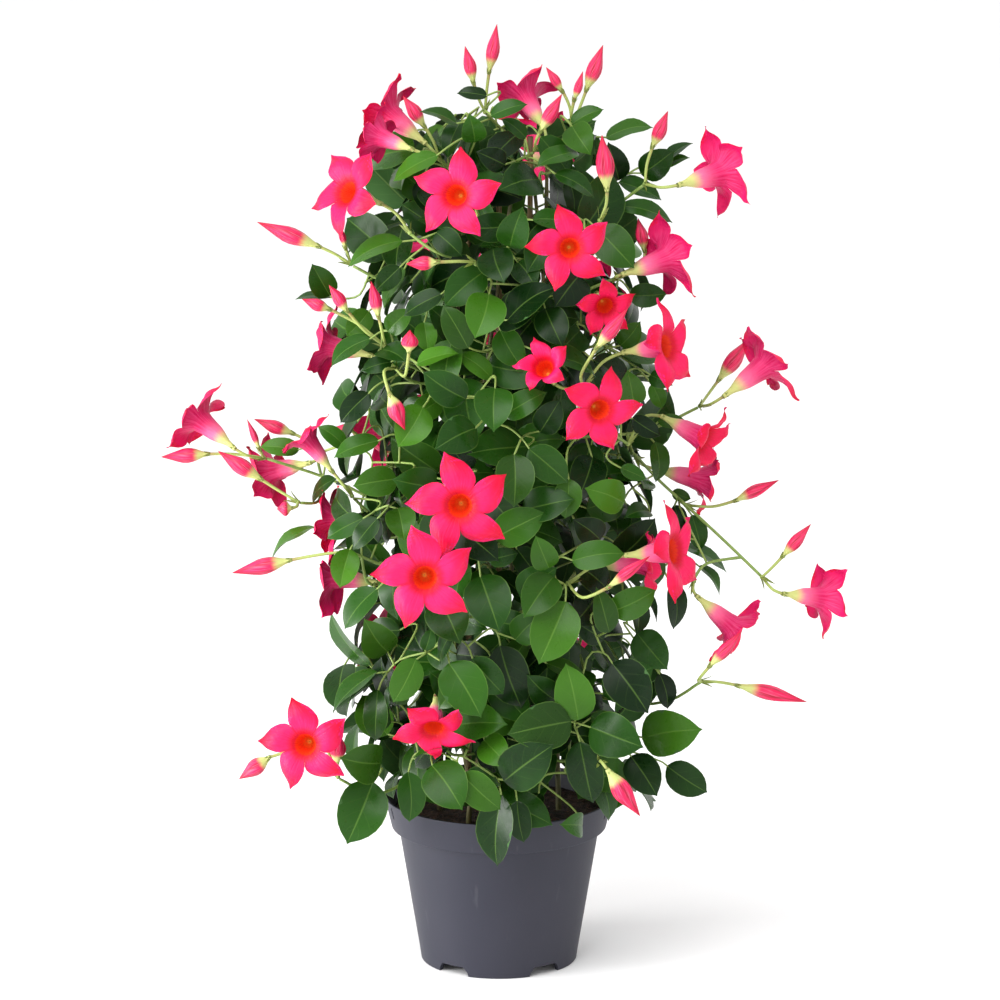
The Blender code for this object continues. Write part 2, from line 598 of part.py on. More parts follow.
def add_far_raceme(plant, azimuth, height, reach, size, count):
    """A raceme on the far side, with one flower and count buds."""
    turn = math.radians(azimuth)
    out = Vector((math.cos(turn), math.sin(turn), 0))
    side = Vector((-out.y, out.x, 0))
    facing = (out + Vector((0, 0, 0.22)) + side * 0.25 * math.sin(azimuth)).normalized()

    def start(shift):
        throat = out * (reach + shift) + Vector((0, 0, height))
        return throat - facing * (TRUMPET * size + 0.012) - Vector((0, 0, 0.012))

    def flowers(shift):
        return [(out * (reach + shift) + Vector((0, 0, height)), facing, azimuth * 7, size, 1.0)]

    def buds(shift):
        found = []
        for i in range(count):
            lean = side * (0.9 - 1.8 * i) + out * 0.5
            base = start(shift) + lean * 0.012 + Vector((0, 0, 0.008))
            found.append((base, base + (lean + Vector((0, 0, 0.7))).normalized() * 0.034, 0.0105))
        return found

    plant.add_raceme(start, flowers, buds)


# How a leaf is moved outward, rolled and shrunk until it is clear.
FRONT_TRIES = (
    (0, 0, 1.0), (0.005, 0, 1.0), (-0.005, 0, 1.0), (0, 16, 1.0), (0, -16, 1.0), (0.010, 0, 1.0),
    (-0.010, 0, 1.0), (0.008, 18, 0.94), (-0.008, -18, 0.94), (0.015, 0, 0.92), (-0.015, 0, 0.92),
    (-0.020, 20, 0.88), (0.020, -20, 0.88), (-0.026, 0, 0.85),
)
FAR_TRIES = ((0, 0, 1.0), (0.008, 15, 0.95), (-0.010, -15, 0.9), (-0.004, 30, 0.8))


def add_front_leaf(plant, entry):
    """Places a leaf that the photograph shows. One that looks short is leaning to the viewer, and
    one that looks narrow is rolled."""
    x0, y0, x1, y1, visible, layers = entry
    near = nearness(x0, y0, layers)
    base = seen(x0, y0, near)
    shown = (seen(x1, y1, near) - base).length
    length = min(max(visible * PIXEL / LEAF_SHAPE, shown), LONGEST_LEAF)
    lean = math.sqrt(max(0.0, length**2 - shown**2)) * 0.8
    settled = nearness(x1, y1, layers)
    tip = seen(x1, y1, near + max(lean, min(settled - near, 0.02)))
    length = (tip - base).length
    width = min(max(visible * PIXEL, 0.56 * length), 0.038)
    roll = math.acos(min(1.0, visible * PIXEL / width))
    way = (tip - base).normalized()
    flat = (TO_VIEWER - way * TO_VIEWER.dot(way)).normalized()
    side = way.cross(flat)
    faces = [flat * math.cos(roll) + side * math.sin(roll) * sign for sign in (1, -1)]
    up = max(faces, key=lambda face: face.z)
    return plant.place_leaf(base, tip, width, up, TO_VIEWER, FRONT_TRIES)


def add_far_sprig(plant, azimuth, height, draw):
    """Places three leaves at the end of a sprig on the canopy's side or back."""
    out = Vector((math.cos(azimuth), math.sin(azimuth), 0))
    side = Vector((-out.y, out.x, 0))
    node = out * (canopy_radius(height) * SPRIG_REACH) + Vector((0, 0, height))
    if plant.grow(node, (out + Vector((0, 0, 0.3))).normalized()) is None:
        return
    first = draw.uniform(0, math.pi)
    for i in range(3):
        turn = first + 2 * math.pi * i / 3 + draw.uniform(-0.3, 0.3)
        spread = side * math.cos(turn) + Vector((0, 0, math.sin(turn) * 0.9 - 0.15))
        way = (spread + out * draw.uniform(0.45, 0.75)).normalized()
        length = LEAF_LENGTH * draw.uniform(0.85, 1.15)
        base = node + way * 0.010
        up = (out * 0.9 + Vector((0, 0, 0.7)) - spread * 0.4).normalized()
        plant.place_leaf(base, base + way * length, length * LEAF_SHAPE, up, out, FAR_TRIES)


def grow_plant():
    """The whole plant: flowers first, then the leaves round them."""
    plant = Plant()
    for entry in RACEMES:
        start, flowers, buds = entry
        plant.add_raceme(
            lambda shift, start=start: seen(start[0], start[1], start[2] + shift),
            lambda shift, flowers=flowers: [flower_from(row, shift) for row in flowers],
            lambda shift, buds=buds: [bud_from(row, shift) for row in buds],
        )
    for entry in FAR_RACEMES:
        add_far_raceme(plant, *entry)
    for entry in LEAVES:
        if entry[5] == 0:
            add_front_leaf(plant, entry)
    draw = random.Random(11)
    for number in range(FAR_SPRIGS):
        azimuth = number * GOLDEN_TURN
        height = 0.135 + 0.50 * (number + 0.5) / FAR_SPRIGS
        if abs((azimuth + math.pi / 2 + math.pi) % (2 * math.pi) - math.pi) > FRONT_SECTOR:
            add_far_sprig(plant, azimuth, height, draw)
    return plant


def material(name, colour, roughness, metallic=0.0):
    """A plain material."""
    made = bpy.data.materials.new(name)
    made.use_nodes = True
    surface = made.node_tree.nodes["Principled BSDF"]
    surface.inputs["Base Color"].default_value = (*colour, 1)
    surface.inputs["Roughness"].default_value = roughness
    surface.inputs["Metallic"].default_value = metallic
    return made


def collection(name):
    """A new collection in the scene."""
    made = bpy.data.collections.new(name)
    bpy.context.scene.collection.children.link(made)
    return made


def mesh_object(name, mesh, home):
    """An object from a bmesh, with its faces turned out."""
    bmesh.ops.recalc_face_normals(mesh, faces=mesh.faces)
    if mesh.calc_volume(signed=True) < 0:
        bmesh.ops.reverse_faces(mesh, faces=mesh.faces)
    data = bpy.data.meshes.new(name)
    mesh.to_mesh(data)
    mesh.free()
    made = bpy.data.objects.new(name, data)
    home.objects.link(made)
    return made


def solid(skin, home):
    """A closed body from points and faces."""
    points, faces = skin
    mesh = bmesh.new()
    corners = [mesh.verts.new(point) for point in points]
    for face in faces:
        mesh.faces.new([corners[i] for i in face])
    return mesh_object("piece", mesh, home)


def stem(path, thick, thin, home):
    """A stem along a path, from a bevelled curve with four sides."""
    curve = bpy.data.curves.new("stem", "CURVE")
    curve.dimensions = "3D"
    curve.bevel_depth = 1.0
    curve.bevel_resolution = 0
    curve.use_fill_caps = True
    spline = curve.splines.new("POLY")
    spline.points.add(len(path) - 1)
    for i, (point, place) in enumerate(zip(spline.points, path)):
        point.co = (*place, 1)
        point.radius = thick + (thin - thick) * i / (len(path) - 1)
    drawn = bpy.data.objects.new("stem", curve)
    home.objects.link(drawn)
    mesh = bmesh.new()
    seen_now = drawn.evaluated_get(bpy.context.evaluated_depsgraph_get())
    mesh.from_mesh(bpy.data.meshes.new_from_object(seen_now))
    bmesh.ops.remove_doubles(mesh, verts=mesh.verts, dist=0.00001)
    bpy.data.objects.remove(drawn)
    return mesh_object("stem", mesh, home)


def knuckle(place, home):
    """The swollen joint where a raceme's stalks meet."""
    mesh = bmesh.new()
    bmesh.ops.create_uvsphere(mesh, u_segments=4, v_segments=2, radius=KNUCKLE_RADIUS)
    bmesh.ops.translate(mesh, verts=mesh.verts, vec=place)
    return mesh_object("knuckle", mesh, home)


def baked(thing):
    """Replaces an object's modifiers by the mesh they make."""
    graph = bpy.context.evaluated_depsgraph_get()
    whole = bpy.data.meshes.new_from_object(thing.evaluated_get(graph))
    thing.modifiers.clear()
    thing.data = whole


def keep_largest(data):
    """Drops the scraps and the sealed hollows that a union leaves beside its one body."""
    mesh = bmesh.new()
    mesh.from_mesh(data)
    shells = []
    left = set(mesh.faces)
    while left:
        shell = {left.pop()}
        edge = set(shell)
        while edge:
            edge = {face for f in edge for side in f.edges for face in side.link_faces} - shell
            shell |= edge
        left -= shell
        shells.append(shell)
    largest = max(shells, key=len)
    extra = [face for shell in shells if shell is not largest for face in shell]
    bmesh.ops.delete(mesh, geom=extra, context="FACES")
    mesh.to_mesh(data)
    mesh.free()


def fuse(name, pieces, home, finish):
    """One body grown together from overlapping pieces."""
    body = pieces[0]
    body.name = name
    joined = collection(name + "_pieces")
    for piece in pieces[1:]:
        home.objects.unlink(piece)
        joined.objects.link(piece)
    union = body.modifiers.new("fuse", "BOOLEAN")
    union.operation = "UNION"
    union.operand_type = "COLLECTION"
    union.collection = joined
    union.solver = "MANIFOLD"
    baked(body)
    keep_largest(body.data)
    body.data.name = name
    for piece in pieces[1:]:
        bpy.data.objects.remove(piece)
    bpy.data.collections.remove(joined)
    body.data.materials.clear()
    body.data.materials.append(finish)
    return body


def cutter(name, shape_maker, places, home):
    """Copies of one cutter at places, as one object."""
    mesh = bmesh.new()
    for place in places:
        shape_maker(mesh, place)
    made = mesh_object(name, mesh, home)
    made.hide_render = True
    made.display_type = "WIRE"
    return made


def cut(body, tool):
    """Cuts a tool out of a body."""
    made = body.modifiers.new(tool.name, "BOOLEAN")
    made.operation = "DIFFERENCE"
    made.object = tool


def turned(name, profile, home, steps, finish):
    """A profile of (radius, height), from the top of its outer side down, turned round the axis."""
    mesh = bmesh.new()
    corners = [mesh.verts.new((radius, 0, height)) for radius, height in profile]
    for start, end in zip(corners, corners[1:]):
        mesh.edges.new((start, end))
    data = bpy.data.meshes.new(name)
    mesh.to_mesh(data)
    mesh.free()
    made = bpy.data.objects.new(name, data)
    home.objects.link(made)
    screw = made.modifiers.new("turn", "SCREW")
    screw.axis = "Z"
    screw.steps = steps
    screw.render_steps = steps
    screw.use_merge_vertices = True
    screw.merge_threshold = 0.00005
    data.materials.append(finish)
    return made


def box(mesh, matrix):
    bmesh.ops.create_cube(mesh, size=1, matrix=matrix)


def drum(mesh, matrix):
    bmesh.ops.create_cone(mesh, segments=8, radius1=1, radius2=1, depth=1, cap_ends=True, matrix=matrix)


def spoke(azimuth, reach, height):
    """A place at a reach from the axis, turned to face along its azimuth."""
    return Matrix.Rotation(azimuth, 4, "Z") @ Matrix.Translation((reach, 0, height))


def inside_radius(height):
    """The inner radius of the pot's body."""
    share = (height - FLOOR_LIFT) / (POT_HEIGHT - COLLAR_HEIGHT - FLOOR_LIFT)
    return BASE_RADIUS + (BODY_TOP_RADIUS - BASE_RADIUS) * share - WALL


def make_pot(home, tools):
    """The nursery pot: a tapered body with a floor, a collar under a plain rim, feet and drains."""
    plastic = material("pot_plastic", (0.058, 0.060, 0.078), 0.38)
    collar_foot = POT_HEIGHT - COLLAR_HEIGHT
    floor_top = FLOOR_LIFT + WALL
    body_radius = BASE_RADIUS + (BODY_TOP_RADIUS - BASE_RADIUS) * 0.07
    profile = (
        (RIM_RADIUS, POT_HEIGHT),
        (COLLAR_RADIUS, collar_foot),
        (BODY_TOP_RADIUS, collar_foot - 0.0004),
        (body_radius, FLOOR_LIFT),
        (BASE_RADIUS, 0),
        (BASE_RADIUS - FOOT_DEPTH, 0),
        (BASE_RADIUS - FOOT_DEPTH, FLOOR_LIFT),
        (0, FLOOR_LIFT),
        (0, floor_top),
        (inside_radius(floor_top), floor_top),
        (BODY_TOP_RADIUS - WALL, collar_foot + WALL * 0.6),
        (COLLAR_RADIUS - WALL, collar_foot + WALL),
        (RIM_RADIUS - WALL, POT_HEIGHT),
        (RIM_RADIUS, POT_HEIGHT),
    )
    pot = turned("pot", profile, home, POT_STEPS, plastic)
    size = Matrix.Diagonal((0.030, NOTCH_WIDTH, NOTCH_HEIGHT * 2, 1))
    front = -math.pi / 2
    notches = [
        spoke(front + 2 * math.pi * (i + 0.5) / FOOT_COUNT, BASE_RADIUS, 0) @ size for i in range(FOOT_COUNT)
    ]
    cut(pot, cutter("foot_notches", box, notches, tools))
    size = Matrix.Diagonal((DRAIN_RADIUS, DRAIN_RADIUS, 0.02, 1))
    drains = [spoke(2 * math.pi * i / DRAIN_COUNT, DRAIN_RING, FLOOR_LIFT) @ size for i in range(DRAIN_COUNT)]
    cut(pot, cutter("drains", drum, drains, tools))
    size = Matrix.Diagonal((0.012, SLOT_WIDTH, SLOT_LENGTH, 1))
    height = POT_HEIGHT - SLOT_DROP - SLOT_LENGTH / 2
    slots = [spoke(math.radians(a), RIM_RADIUS - 0.002, height) @ size for a in SLOT_AZIMUTHS]
    cut(pot, cutter("rim_slots", box, slots, tools))
    return pot


def make_soil(home, tools):
    """The peat that fills the pot, with plain holes for the canes and the vines."""
    peat = material("peat", (0.032, 0.017, 0.011), 0.95)
    low = FLOOR_LIFT + WALL + SEAT_GAP
    collar_foot = POT_HEIGHT - COLLAR_HEIGHT
    edge = COLLAR_RADIUS - WALL + (RIM_RADIUS - COLLAR_RADIUS) * (SOIL_TOP - collar_foot) / COLLAR_HEIGHT
    profile = (
        (0, SOIL_TOP + SOIL_CROWN),
        (edge * 0.5, SOIL_TOP + SOIL_CROWN * 0.8),
        (edge - 2.5 * SEAT_GAP, SOIL_TOP),
        (COLLAR_RADIUS - WALL - 2.5 * SEAT_GAP, collar_foot + WALL + SEAT_GAP * 2),
        (BODY_TOP_RADIUS - WALL - 2.5 * SEAT_GAP, collar_foot + WALL * 0.6),
        (inside_radius(low) - 2.5 * SEAT_GAP, low),
        (0, low),
    )
    soil = turned("potting_soil", profile, home, POT_STEPS, peat)
    holes = [(vine_path(vine)[0], VINE_RADIUS) for vine in range(VINE_COUNT)]
    holes += [(cane_foot(number), CANE_RADIUS) for number in range(len(CANE_TOPS))]
    places = []
    for foot, radius in holes:
        wide = (radius + SEAT_GAP * 1.3) / math.cos(math.pi / 8)
        size = Matrix.Diagonal((wide, wide, BURIED * 2, 1))
        places.append(Matrix.Translation((foot.x, foot.y, SOIL_TOP)) @ size)
    cut(soil, cutter("stem_holes", drum, places, tools))
    return soil


def make_canes(home):
    """The bamboo canes, plain rods with square-cut ends."""
    bamboo = material("bamboo", (0.36, 0.25, 0.11), 0.6)
    for number, top in enumerate(CANE_TOPS):
        foot = cane_foot(number)
        height = top - foot.z
        mesh = bmesh.new()
        bmesh.ops.create_cone(
            mesh, segments=8, radius1=CANE_RADIUS, radius2=CANE_RADIUS * 0.9, depth=height, cap_ends=True
        )
        cane = mesh_object(f"bamboo_cane_{number + 1}", mesh, home)
        cane.location = foot + Vector((0, 0, height / 2))
        cane.data.materials.append(bamboo)


def make_vines(plant, home):
    """Each vine's stem, twigs and leaves, grown together."""
    green = material("leaf_green", (0.035, 0.130, 0.030), 0.35)
    for vine in range(VINE_COUNT):
        pieces = [stem(path, thick, thin, home) for own, path, thick, thin in plant.stems if own == vine]
        for own, stalk, base, tip, width, up in plant.leaves:
            if own == vine:
                pieces.append(solid(leaf_skin(stalk, base, tip, width, up, 0), home))
        fuse(f"leafy_vine_{vine + 1}", pieces, home, green)


def make_racemes(plant, home):
    """Each raceme's flowers, buds and stalks, grown together."""
    pink = material("petal_pink", (0.95, 0.045, 0.210), 0.45)
    for number, (place, corollas, furled, stalks) in enumerate(plant.racemes):
        pieces = [knuckle(place, home)]
        for flower in corollas:
            pieces.append(solid(corolla_skin(*flower), home))
        for base, tip, girth in furled:
            pieces.append(solid(bud_skin(base, tip, girth), home))
        for path in stalks:
            way = (path[-1] - path[-2]).normalized()
            pieces.append(stem([*path, path[-1] + way * 0.002], PEDICEL_RADIUS, PEDICEL_RADIUS, home))
        fuse(f"raceme_{number + 1:02d}", pieces, home, pink)


def main():
    for thing in list(bpy.data.objects):
        bpy.data.objects.remove(thing)
    home = collection("potted_mandevilla")
    tools = collection("cutters")
    plant = grow_plant()
    make_pot(home, tools)
    make_soil(home, tools)
    make_canes(home)
    make_vines(plant, home)
    make_racemes(plant, home)


main()
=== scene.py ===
import math
import random

import bmesh
import bpy
from mathutils import Matrix, Vector, noise
from mathutils.bvhtree import BVHTree


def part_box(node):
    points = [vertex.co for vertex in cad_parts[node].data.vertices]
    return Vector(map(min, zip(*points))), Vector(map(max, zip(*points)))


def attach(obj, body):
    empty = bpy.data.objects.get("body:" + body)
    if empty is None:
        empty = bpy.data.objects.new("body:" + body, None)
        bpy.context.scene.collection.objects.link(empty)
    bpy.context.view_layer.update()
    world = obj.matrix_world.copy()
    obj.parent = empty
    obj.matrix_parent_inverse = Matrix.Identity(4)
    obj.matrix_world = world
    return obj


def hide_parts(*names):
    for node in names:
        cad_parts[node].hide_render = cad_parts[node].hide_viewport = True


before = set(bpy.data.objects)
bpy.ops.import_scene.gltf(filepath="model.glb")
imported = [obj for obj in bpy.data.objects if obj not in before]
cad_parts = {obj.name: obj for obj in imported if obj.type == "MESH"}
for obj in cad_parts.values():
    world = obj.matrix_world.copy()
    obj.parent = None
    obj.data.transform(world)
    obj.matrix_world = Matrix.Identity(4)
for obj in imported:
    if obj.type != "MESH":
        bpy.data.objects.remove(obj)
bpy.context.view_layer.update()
bpy.context.scene.view_settings.view_transform = "Standard"

# The view. The camera stands level with the middle of the column's front, a little above it, and
# looks down on it by the same angle by which places on the plant are read from the photograph.
PIXEL = 0.00073
VIEW_DISTANCE = 3.2
VIEW_PITCH = math.radians(12)
VIEW_HEIGHT = 0.347
MIDDLE_ACROSS = 499
MIDDLE_DOWN = 500
PICTURE_WIDTH = 1000
TO_VIEWER = Vector((0, -math.cos(VIEW_PITCH), math.sin(VIEW_PITCH)))

lens = bpy.data.cameras.new("view")
lens.sensor_width = 36
lens.lens = 36 * VIEW_DISTANCE / (PIXEL * PICTURE_WIDTH)
lens.shift_x = (PICTURE_WIDTH / 2 - MIDDLE_ACROSS) / PICTURE_WIDTH
lens.clip_end = 200
camera = bpy.data.objects.new("view", lens)
camera.location = Vector((0, 0, VIEW_HEIGHT)) + TO_VIEWER * VIEW_DISTANCE
camera.rotation_euler = (math.pi / 2 - VIEW_PITCH, 0, 0)
bpy.context.scene.collection.objects.link(camera)
bpy.context.scene.camera = camera

# The pot: a round nursery pot in dark blue-grey moulded plastic with a satin skin, a deep collar
# under its rim, five feet and six drains. It is turned from its profile with its corners eased, and
# the notches between the feet, the drains and the collar's slots are cut out of it.
RIM_RADIUS = 0.0850
POT_HEIGHT = 0.1250
BASE_RADIUS = 0.0578
FOOT_RADIUS = 0.0538
FLOOR_LIFT = 0.0080
INNER_FLOOR = 0.0096
POT_SIDES = 144
POT_PROFILE = (
    (0.0, INNER_FLOOR), (0.0585, INNER_FLOOR), (0.0727, 0.1016), (0.0776, 0.1026), (0.0832, POT_HEIGHT),
    (RIM_RADIUS, POT_HEIGHT), (0.0794, 0.1014), (0.0742, 0.1006), (0.0590, FLOOR_LIFT), (BASE_RADIUS, 0.0),
    (FOOT_RADIUS, 0.0), (FOOT_RADIUS, FLOOR_LIFT), (0.0, FLOOR_LIFT),
)
FOOT_COUNT = 5
NOTCH_OUTLINE = (
    (-0.0140, -0.004), (-0.0125, 0.003), (-0.0095, 0.0072), (0.0095, 0.0072), (0.0125, 0.003),
    (0.0140, -0.004),
)
NOTCH_DEPTH = 0.030
DRAIN_COUNT = 6
DRAIN_RADIUS = 0.0045
DRAIN_RING = 0.036
SLOT_AZIMUTHS = (-160, -20, 20, 160)
SLOT_SIZE = (0.012, 0.0020, 0.0090)
SLOT_DROP = 0.0075
POT_EASE = 0.0005
SHARP_ANGLE = math.radians(40)
SAME_POINT = 0.000002


class Wire:
    """A shader socket that adds up like a number, in the tree of its material."""

    def __init__(self, tree, socket):
        self.tree = tree
        self.socket = socket

    def node(self, kind, settings=(), **inputs):
        """Another node's first output, with settings and inputs set by name or by number."""
        made = self.tree.nodes.new(kind)
        for name, value in dict(settings).items():
            setattr(made, name, value)
        for name, value in inputs.items():
            numbered = name[0] == "i" and name[1:].isdigit()
            entry = made.inputs[int(name[1:]) if numbered else name.replace("_", " ")]
            if isinstance(value, Wire):
                self.tree.links.new(value.socket, entry)
            else:
                entry.default_value = value
        return Wire(self.tree, made.outputs[0])

    def maths(self, operation, *values):
        entries = {f"i{i}": value for i, value in enumerate(values)}
        return self.node("ShaderNodeMath", {"operation": operation}, **entries)

    def __add__(self, other):
        return self.maths("ADD", self, other)

    def __radd__(self, other):
        return self.maths("ADD", other, self)

    def __sub__(self, other):
        return self.maths("SUBTRACT", self, other)

    def __rsub__(self, other):
        return self.maths("SUBTRACT", other, self)

    def __mul__(self, other):
        return self.maths("MULTIPLY", self, other)

    def __rmul__(self, other):
        return self.maths("MULTIPLY", other, self)

    def size(self):
        """This number without its sign."""
        return self.maths("ABSOLUTE", self)

    def fold(self, width):
        """This number folded to and fro between 0 and width."""
        return self.maths("PINGPONG", self, width)

    def most(self, other):
        """The larger of two numbers."""
        return self.maths("MAXIMUM", self, other)

    def step(self, start, end):
        """0 at start and 1 at end, smooth between them."""
        made = self.node("ShaderNodeMapRange", {"interpolation_type": "SMOOTHSTEP"}, Value=self)
        tree_node = made.socket.node
        tree_node.inputs["From Min"].default_value = start
        tree_node.inputs["From Max"].default_value = end
        return made

    def mix(self, low, high):
        """Colour low where this is 0 and high where it is 1."""
        made = self.tree.nodes.new("ShaderNodeMix")
        made.data_type = "RGBA"
        self.tree.links.new(self.socket, made.inputs[0])
        for entry, value in ((made.inputs[6], low), (made.inputs[7], high)):
            if isinstance(value, Wire):
                self.tree.links.new(value.socket, entry)
            else:
                entry.default_value = (*value, 1)
        return Wire(self.tree, made.outputs[2])

    def noise(self, scale, detail=3.0):
        """Noise over this vector."""
        return self.node("ShaderNodeTexNoise", Vector=self, Scale=scale, Detail=detail)

    def stretched(self, across, along, up=1.0):
        """This vector, scaled along each of its axes."""
        return self.node("ShaderNodeVectorMath", {"operation": "MULTIPLY"}, i0=self, i1=(across, along, up))


def surface(name, roughness, **settings):
    """A new material: its wire to read places from, its Principled shader, and its tree."""
    made = bpy.data.materials.new(name)
    made.use_nodes = True
    tree = made.node_tree
    shader = tree.nodes["Principled BSDF"]
    shader.inputs["Roughness"].default_value = roughness
    for key, value in settings.items():
        shader.inputs[key.replace("_", " ")].default_value = value
    return made, tree, shader


def place_wire(tree, name):
    """A texture coordinate of a material, as a wire."""
    made = tree.nodes.new("ShaderNodeTexCoord")
    return Wire(tree, made.outputs[name])


def mark_wires(tree, name):
    """The three channels of a painted attribute, as wires."""
    made = tree.nodes.new("ShaderNodeAttribute")
    made.attribute_name = name
    split = tree.nodes.new("ShaderNodeSeparateColor")
    tree.links.new(made.outputs["Color"], split.inputs[0])
    return [Wire(tree, out) for out in split.outputs[:3]]


def uv_wires(tree):
    """The two coordinates of the mesh's own map, as wires."""
    split = tree.nodes.new("ShaderNodeSeparateXYZ")
    tree.links.new(place_wire(tree, "UV").socket, split.inputs[0])
    return Wire(tree, split.outputs[0]), Wire(tree, split.outputs[1])


def lead(wire, shader, name):
    """Feeds a shader's input."""
    wire.tree.links.new(wire.socket, shader.inputs[name])


def raise_surface(wire, shader, strength, distance):
    """Feeds a shader's normal with relief."""
    bump = wire.tree.nodes.new("ShaderNodeBump")
    bump.inputs["Strength"].default_value = strength
    bump.inputs["Distance"].default_value = distance
    wire.tree.links.new(wire.socket, bump.inputs["Height"])
    wire.tree.links.new(bump.outputs["Normal"], shader.inputs["Normal"])


class Sheaf:
    """Points and faces of many small pieces, gathered into one mesh with a map and marks."""

    def __init__(self):
        self.points = []
        self.faces = []
        self.maps = []
        self.marks = []

    def grid(self, rows, wrap=False, mark=(0.5, 0, 0), flip=False, maps=None):
        """Faces over rows of points. maps gives each point's place in the map."""
        first = len(self.points)
        wide = len(rows[0])
        for i, row in enumerate(rows):
            self.points += row
            for j in range(wide):
                self.maps.append(maps[i][j] if maps else (i / (len(rows) - 1), j / max(1, wide - 1)))
                self.marks.append(mark)
        for i in range(len(rows) - 1):
            for j in range(wide if wrap else wide - 1):
                a, b = first + i * wide + j, first + i * wide + (j + 1) % wide
                corners = (a, b, b + wide, a + wide)
                self.faces.append(corners[::-1] if flip else corners)

    def made(self, name, finish):
        """The object, shaded smooth, with its material."""
        data = bpy.data.meshes.new(name)
        data.from_pydata(self.points, [], self.faces)
        layer = data.uv_layers.new(name="map")
        corners = [loop.vertex_index for loop in data.loops]
        layer.data.foreach_set("uv", [value for v in corners for value in self.maps[v]])
        paint = data.color_attributes.new("mark", "FLOAT_COLOR", "POINT")
        paint.data.foreach_set("color", [value for mark in self.marks for value in (*mark, 1.0)])
        data.materials.append(finish)
        data.shade_smooth()
        thing = bpy.data.objects.new(name, data)
        bpy.context.scene.collection.objects.link(thing)
        return thing


pot_finish, tree, shader = surface("pot_plastic", 0.46, Specular_IOR_Level=0.34)
place = place_wire(tree, "Object")
haze = place.noise(9.0, 4.0)
speck = place.noise(900.0, 2.0)
scuff = place.stretched(1.0, 1.0, 0.12).noise(160.0, 3.0)
grey = haze.step(0.3, 0.75).mix((0.020, 0.021, 0.034), (0.028, 0.028, 0.042))
lead((scuff.step(0.62, 0.80) * 0.25).mix(grey, (0.090, 0.090, 0.105)), shader, "Base Color")
lead(0.40 + haze * 0.16 + speck * 0.06 + scuff * 0.05, shader, "Roughness")
raise_surface(speck, shader, 0.12, 0.0002)


def eased(profile, ease):
    """A profile with each corner rounded, and held by a point close on either side of it."""
    found = [profile[0]]
    for before, corner, after in zip(profile, profile[1:], profile[2:]):
        corner = Vector(corner)
        back, onward = (Vector(before) - corner), (Vector(after) - corner)
        ease_here = min(ease, back.length / 5, onward.length / 5)
        back.normalize()
        onward.normalize()
        found += [corner + back * (2.2 * ease_here), corner + back * ease_here]
        found.append(corner + (back + onward) * (0.35 * ease_here))
        found += [corner + onward * ease_here, corner + onward * (2.2 * ease_here)]
    return [tuple(point) for point in found] + [profile[-1]]


def turned_rows(profile, sides):
    """Rings of points for a profile of (radius, height)."""
    turns = [2 * math.pi * i / sides for i in range(sides)]
    return [[Vector((r * math.cos(a), r * math.sin(a), z)) for a in turns] for r, z in profile]


def cut_out(thing, shapes):
    """Cuts shapes, each made by a function of a mesh, out of an object."""
    for add_shape in shapes:
        mesh = bmesh.new()
        add_shape(mesh)
        data = bpy.data.meshes.new("cutter")
        mesh.to_mesh(data)
        mesh.free()
        tool = bpy.data.objects.new("cutter", data)
        bpy.context.scene.collection.objects.link(tool)
        change = thing.modifiers.new("cut", "BOOLEAN")
        change.operation = "DIFFERENCE"
        change.solver = "EXACT"
        change.object = tool
        found = thing.evaluated_get(bpy.context.evaluated_depsgraph_get())
        cut = bpy.data.meshes.new_from_object(found)
        thing.modifiers.clear()
        thing.data = cut
        bpy.data.objects.remove(tool)


def at_spoke(azimuth, radius, height):
    """A place at a radius and height round the axis, turned to face outward."""
    spot = Matrix.Translation((radius * math.cos(azimuth), radius * math.sin(azimuth), height))
    return spot @ Matrix.Rotation(azimuth, 4, "Z")


def notch_shape(mesh):
    """The openings between the feet, narrower at the top."""
    count = len(NOTCH_OUTLINE)
    for i in range(FOOT_COUNT):
        place = at_spoke(-math.pi / 2 + 2 * math.pi * (i + 0.5) / FOOT_COUNT, BASE_RADIUS, 0)
        corners = []
        for x in (-NOTCH_DEPTH / 2, NOTCH_DEPTH / 2):
            for y, z in NOTCH_OUTLINE:
                corners.append(mesh.verts.new(place @ Vector((x, y, z))))
        mesh.faces.new(corners[:count][::-1])
        mesh.faces.new(corners[count:])
        for j in range(count):
            k = (j + 1) % count
            mesh.faces.new((corners[j], corners[k], corners[k + count], corners[j + count]))
    bmesh.ops.recalc_face_normals(mesh, faces=mesh.faces)


def drain_shape(mesh):
    """The round holes through the floor."""
    size = {"radius1": DRAIN_RADIUS, "radius2": DRAIN_RADIUS, "depth": 0.01}
    for i in range(DRAIN_COUNT):
        place = at_spoke(2 * math.pi * i / DRAIN_COUNT, DRAIN_RING, (FLOOR_LIFT + INNER_FLOOR) / 2)
        bmesh.ops.create_cone(mesh, cap_ends=True, segments=24, matrix=place, **size)


def slot_shape(mesh):
    """The short slots through the collar."""
    for azimuth in SLOT_AZIMUTHS:
        place = at_spoke(math.radians(azimuth), RIM_RADIUS - 0.002, POT_HEIGHT - SLOT_DROP)
        bmesh.ops.create_cube(mesh, size=1, matrix=place @ Matrix.Diagonal((*SLOT_SIZE, 1)))


rows = turned_rows(eased(POT_PROFILE, POT_EASE), POT_SIDES)
sheaf = Sheaf()
sheaf.grid(rows, wrap=True, flip=True)
pot = sheaf.made("pot_shell", pot_finish)
mesh = bmesh.new()
mesh.from_mesh(pot.data)
bmesh.ops.remove_doubles(mesh, verts=mesh.verts, dist=SAME_POINT)
bmesh.ops.dissolve_degenerate(mesh, edges=mesh.edges, dist=SAME_POINT)
mesh.to_mesh(pot.data)
mesh.free()
cut_out(pot, (notch_shape, drain_shape, slot_shape))
pot.data.shade_smooth()
pot.data.set_sharp_from_angle(angle=SHARP_ANGLE)
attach(pot, "root")
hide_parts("pot")

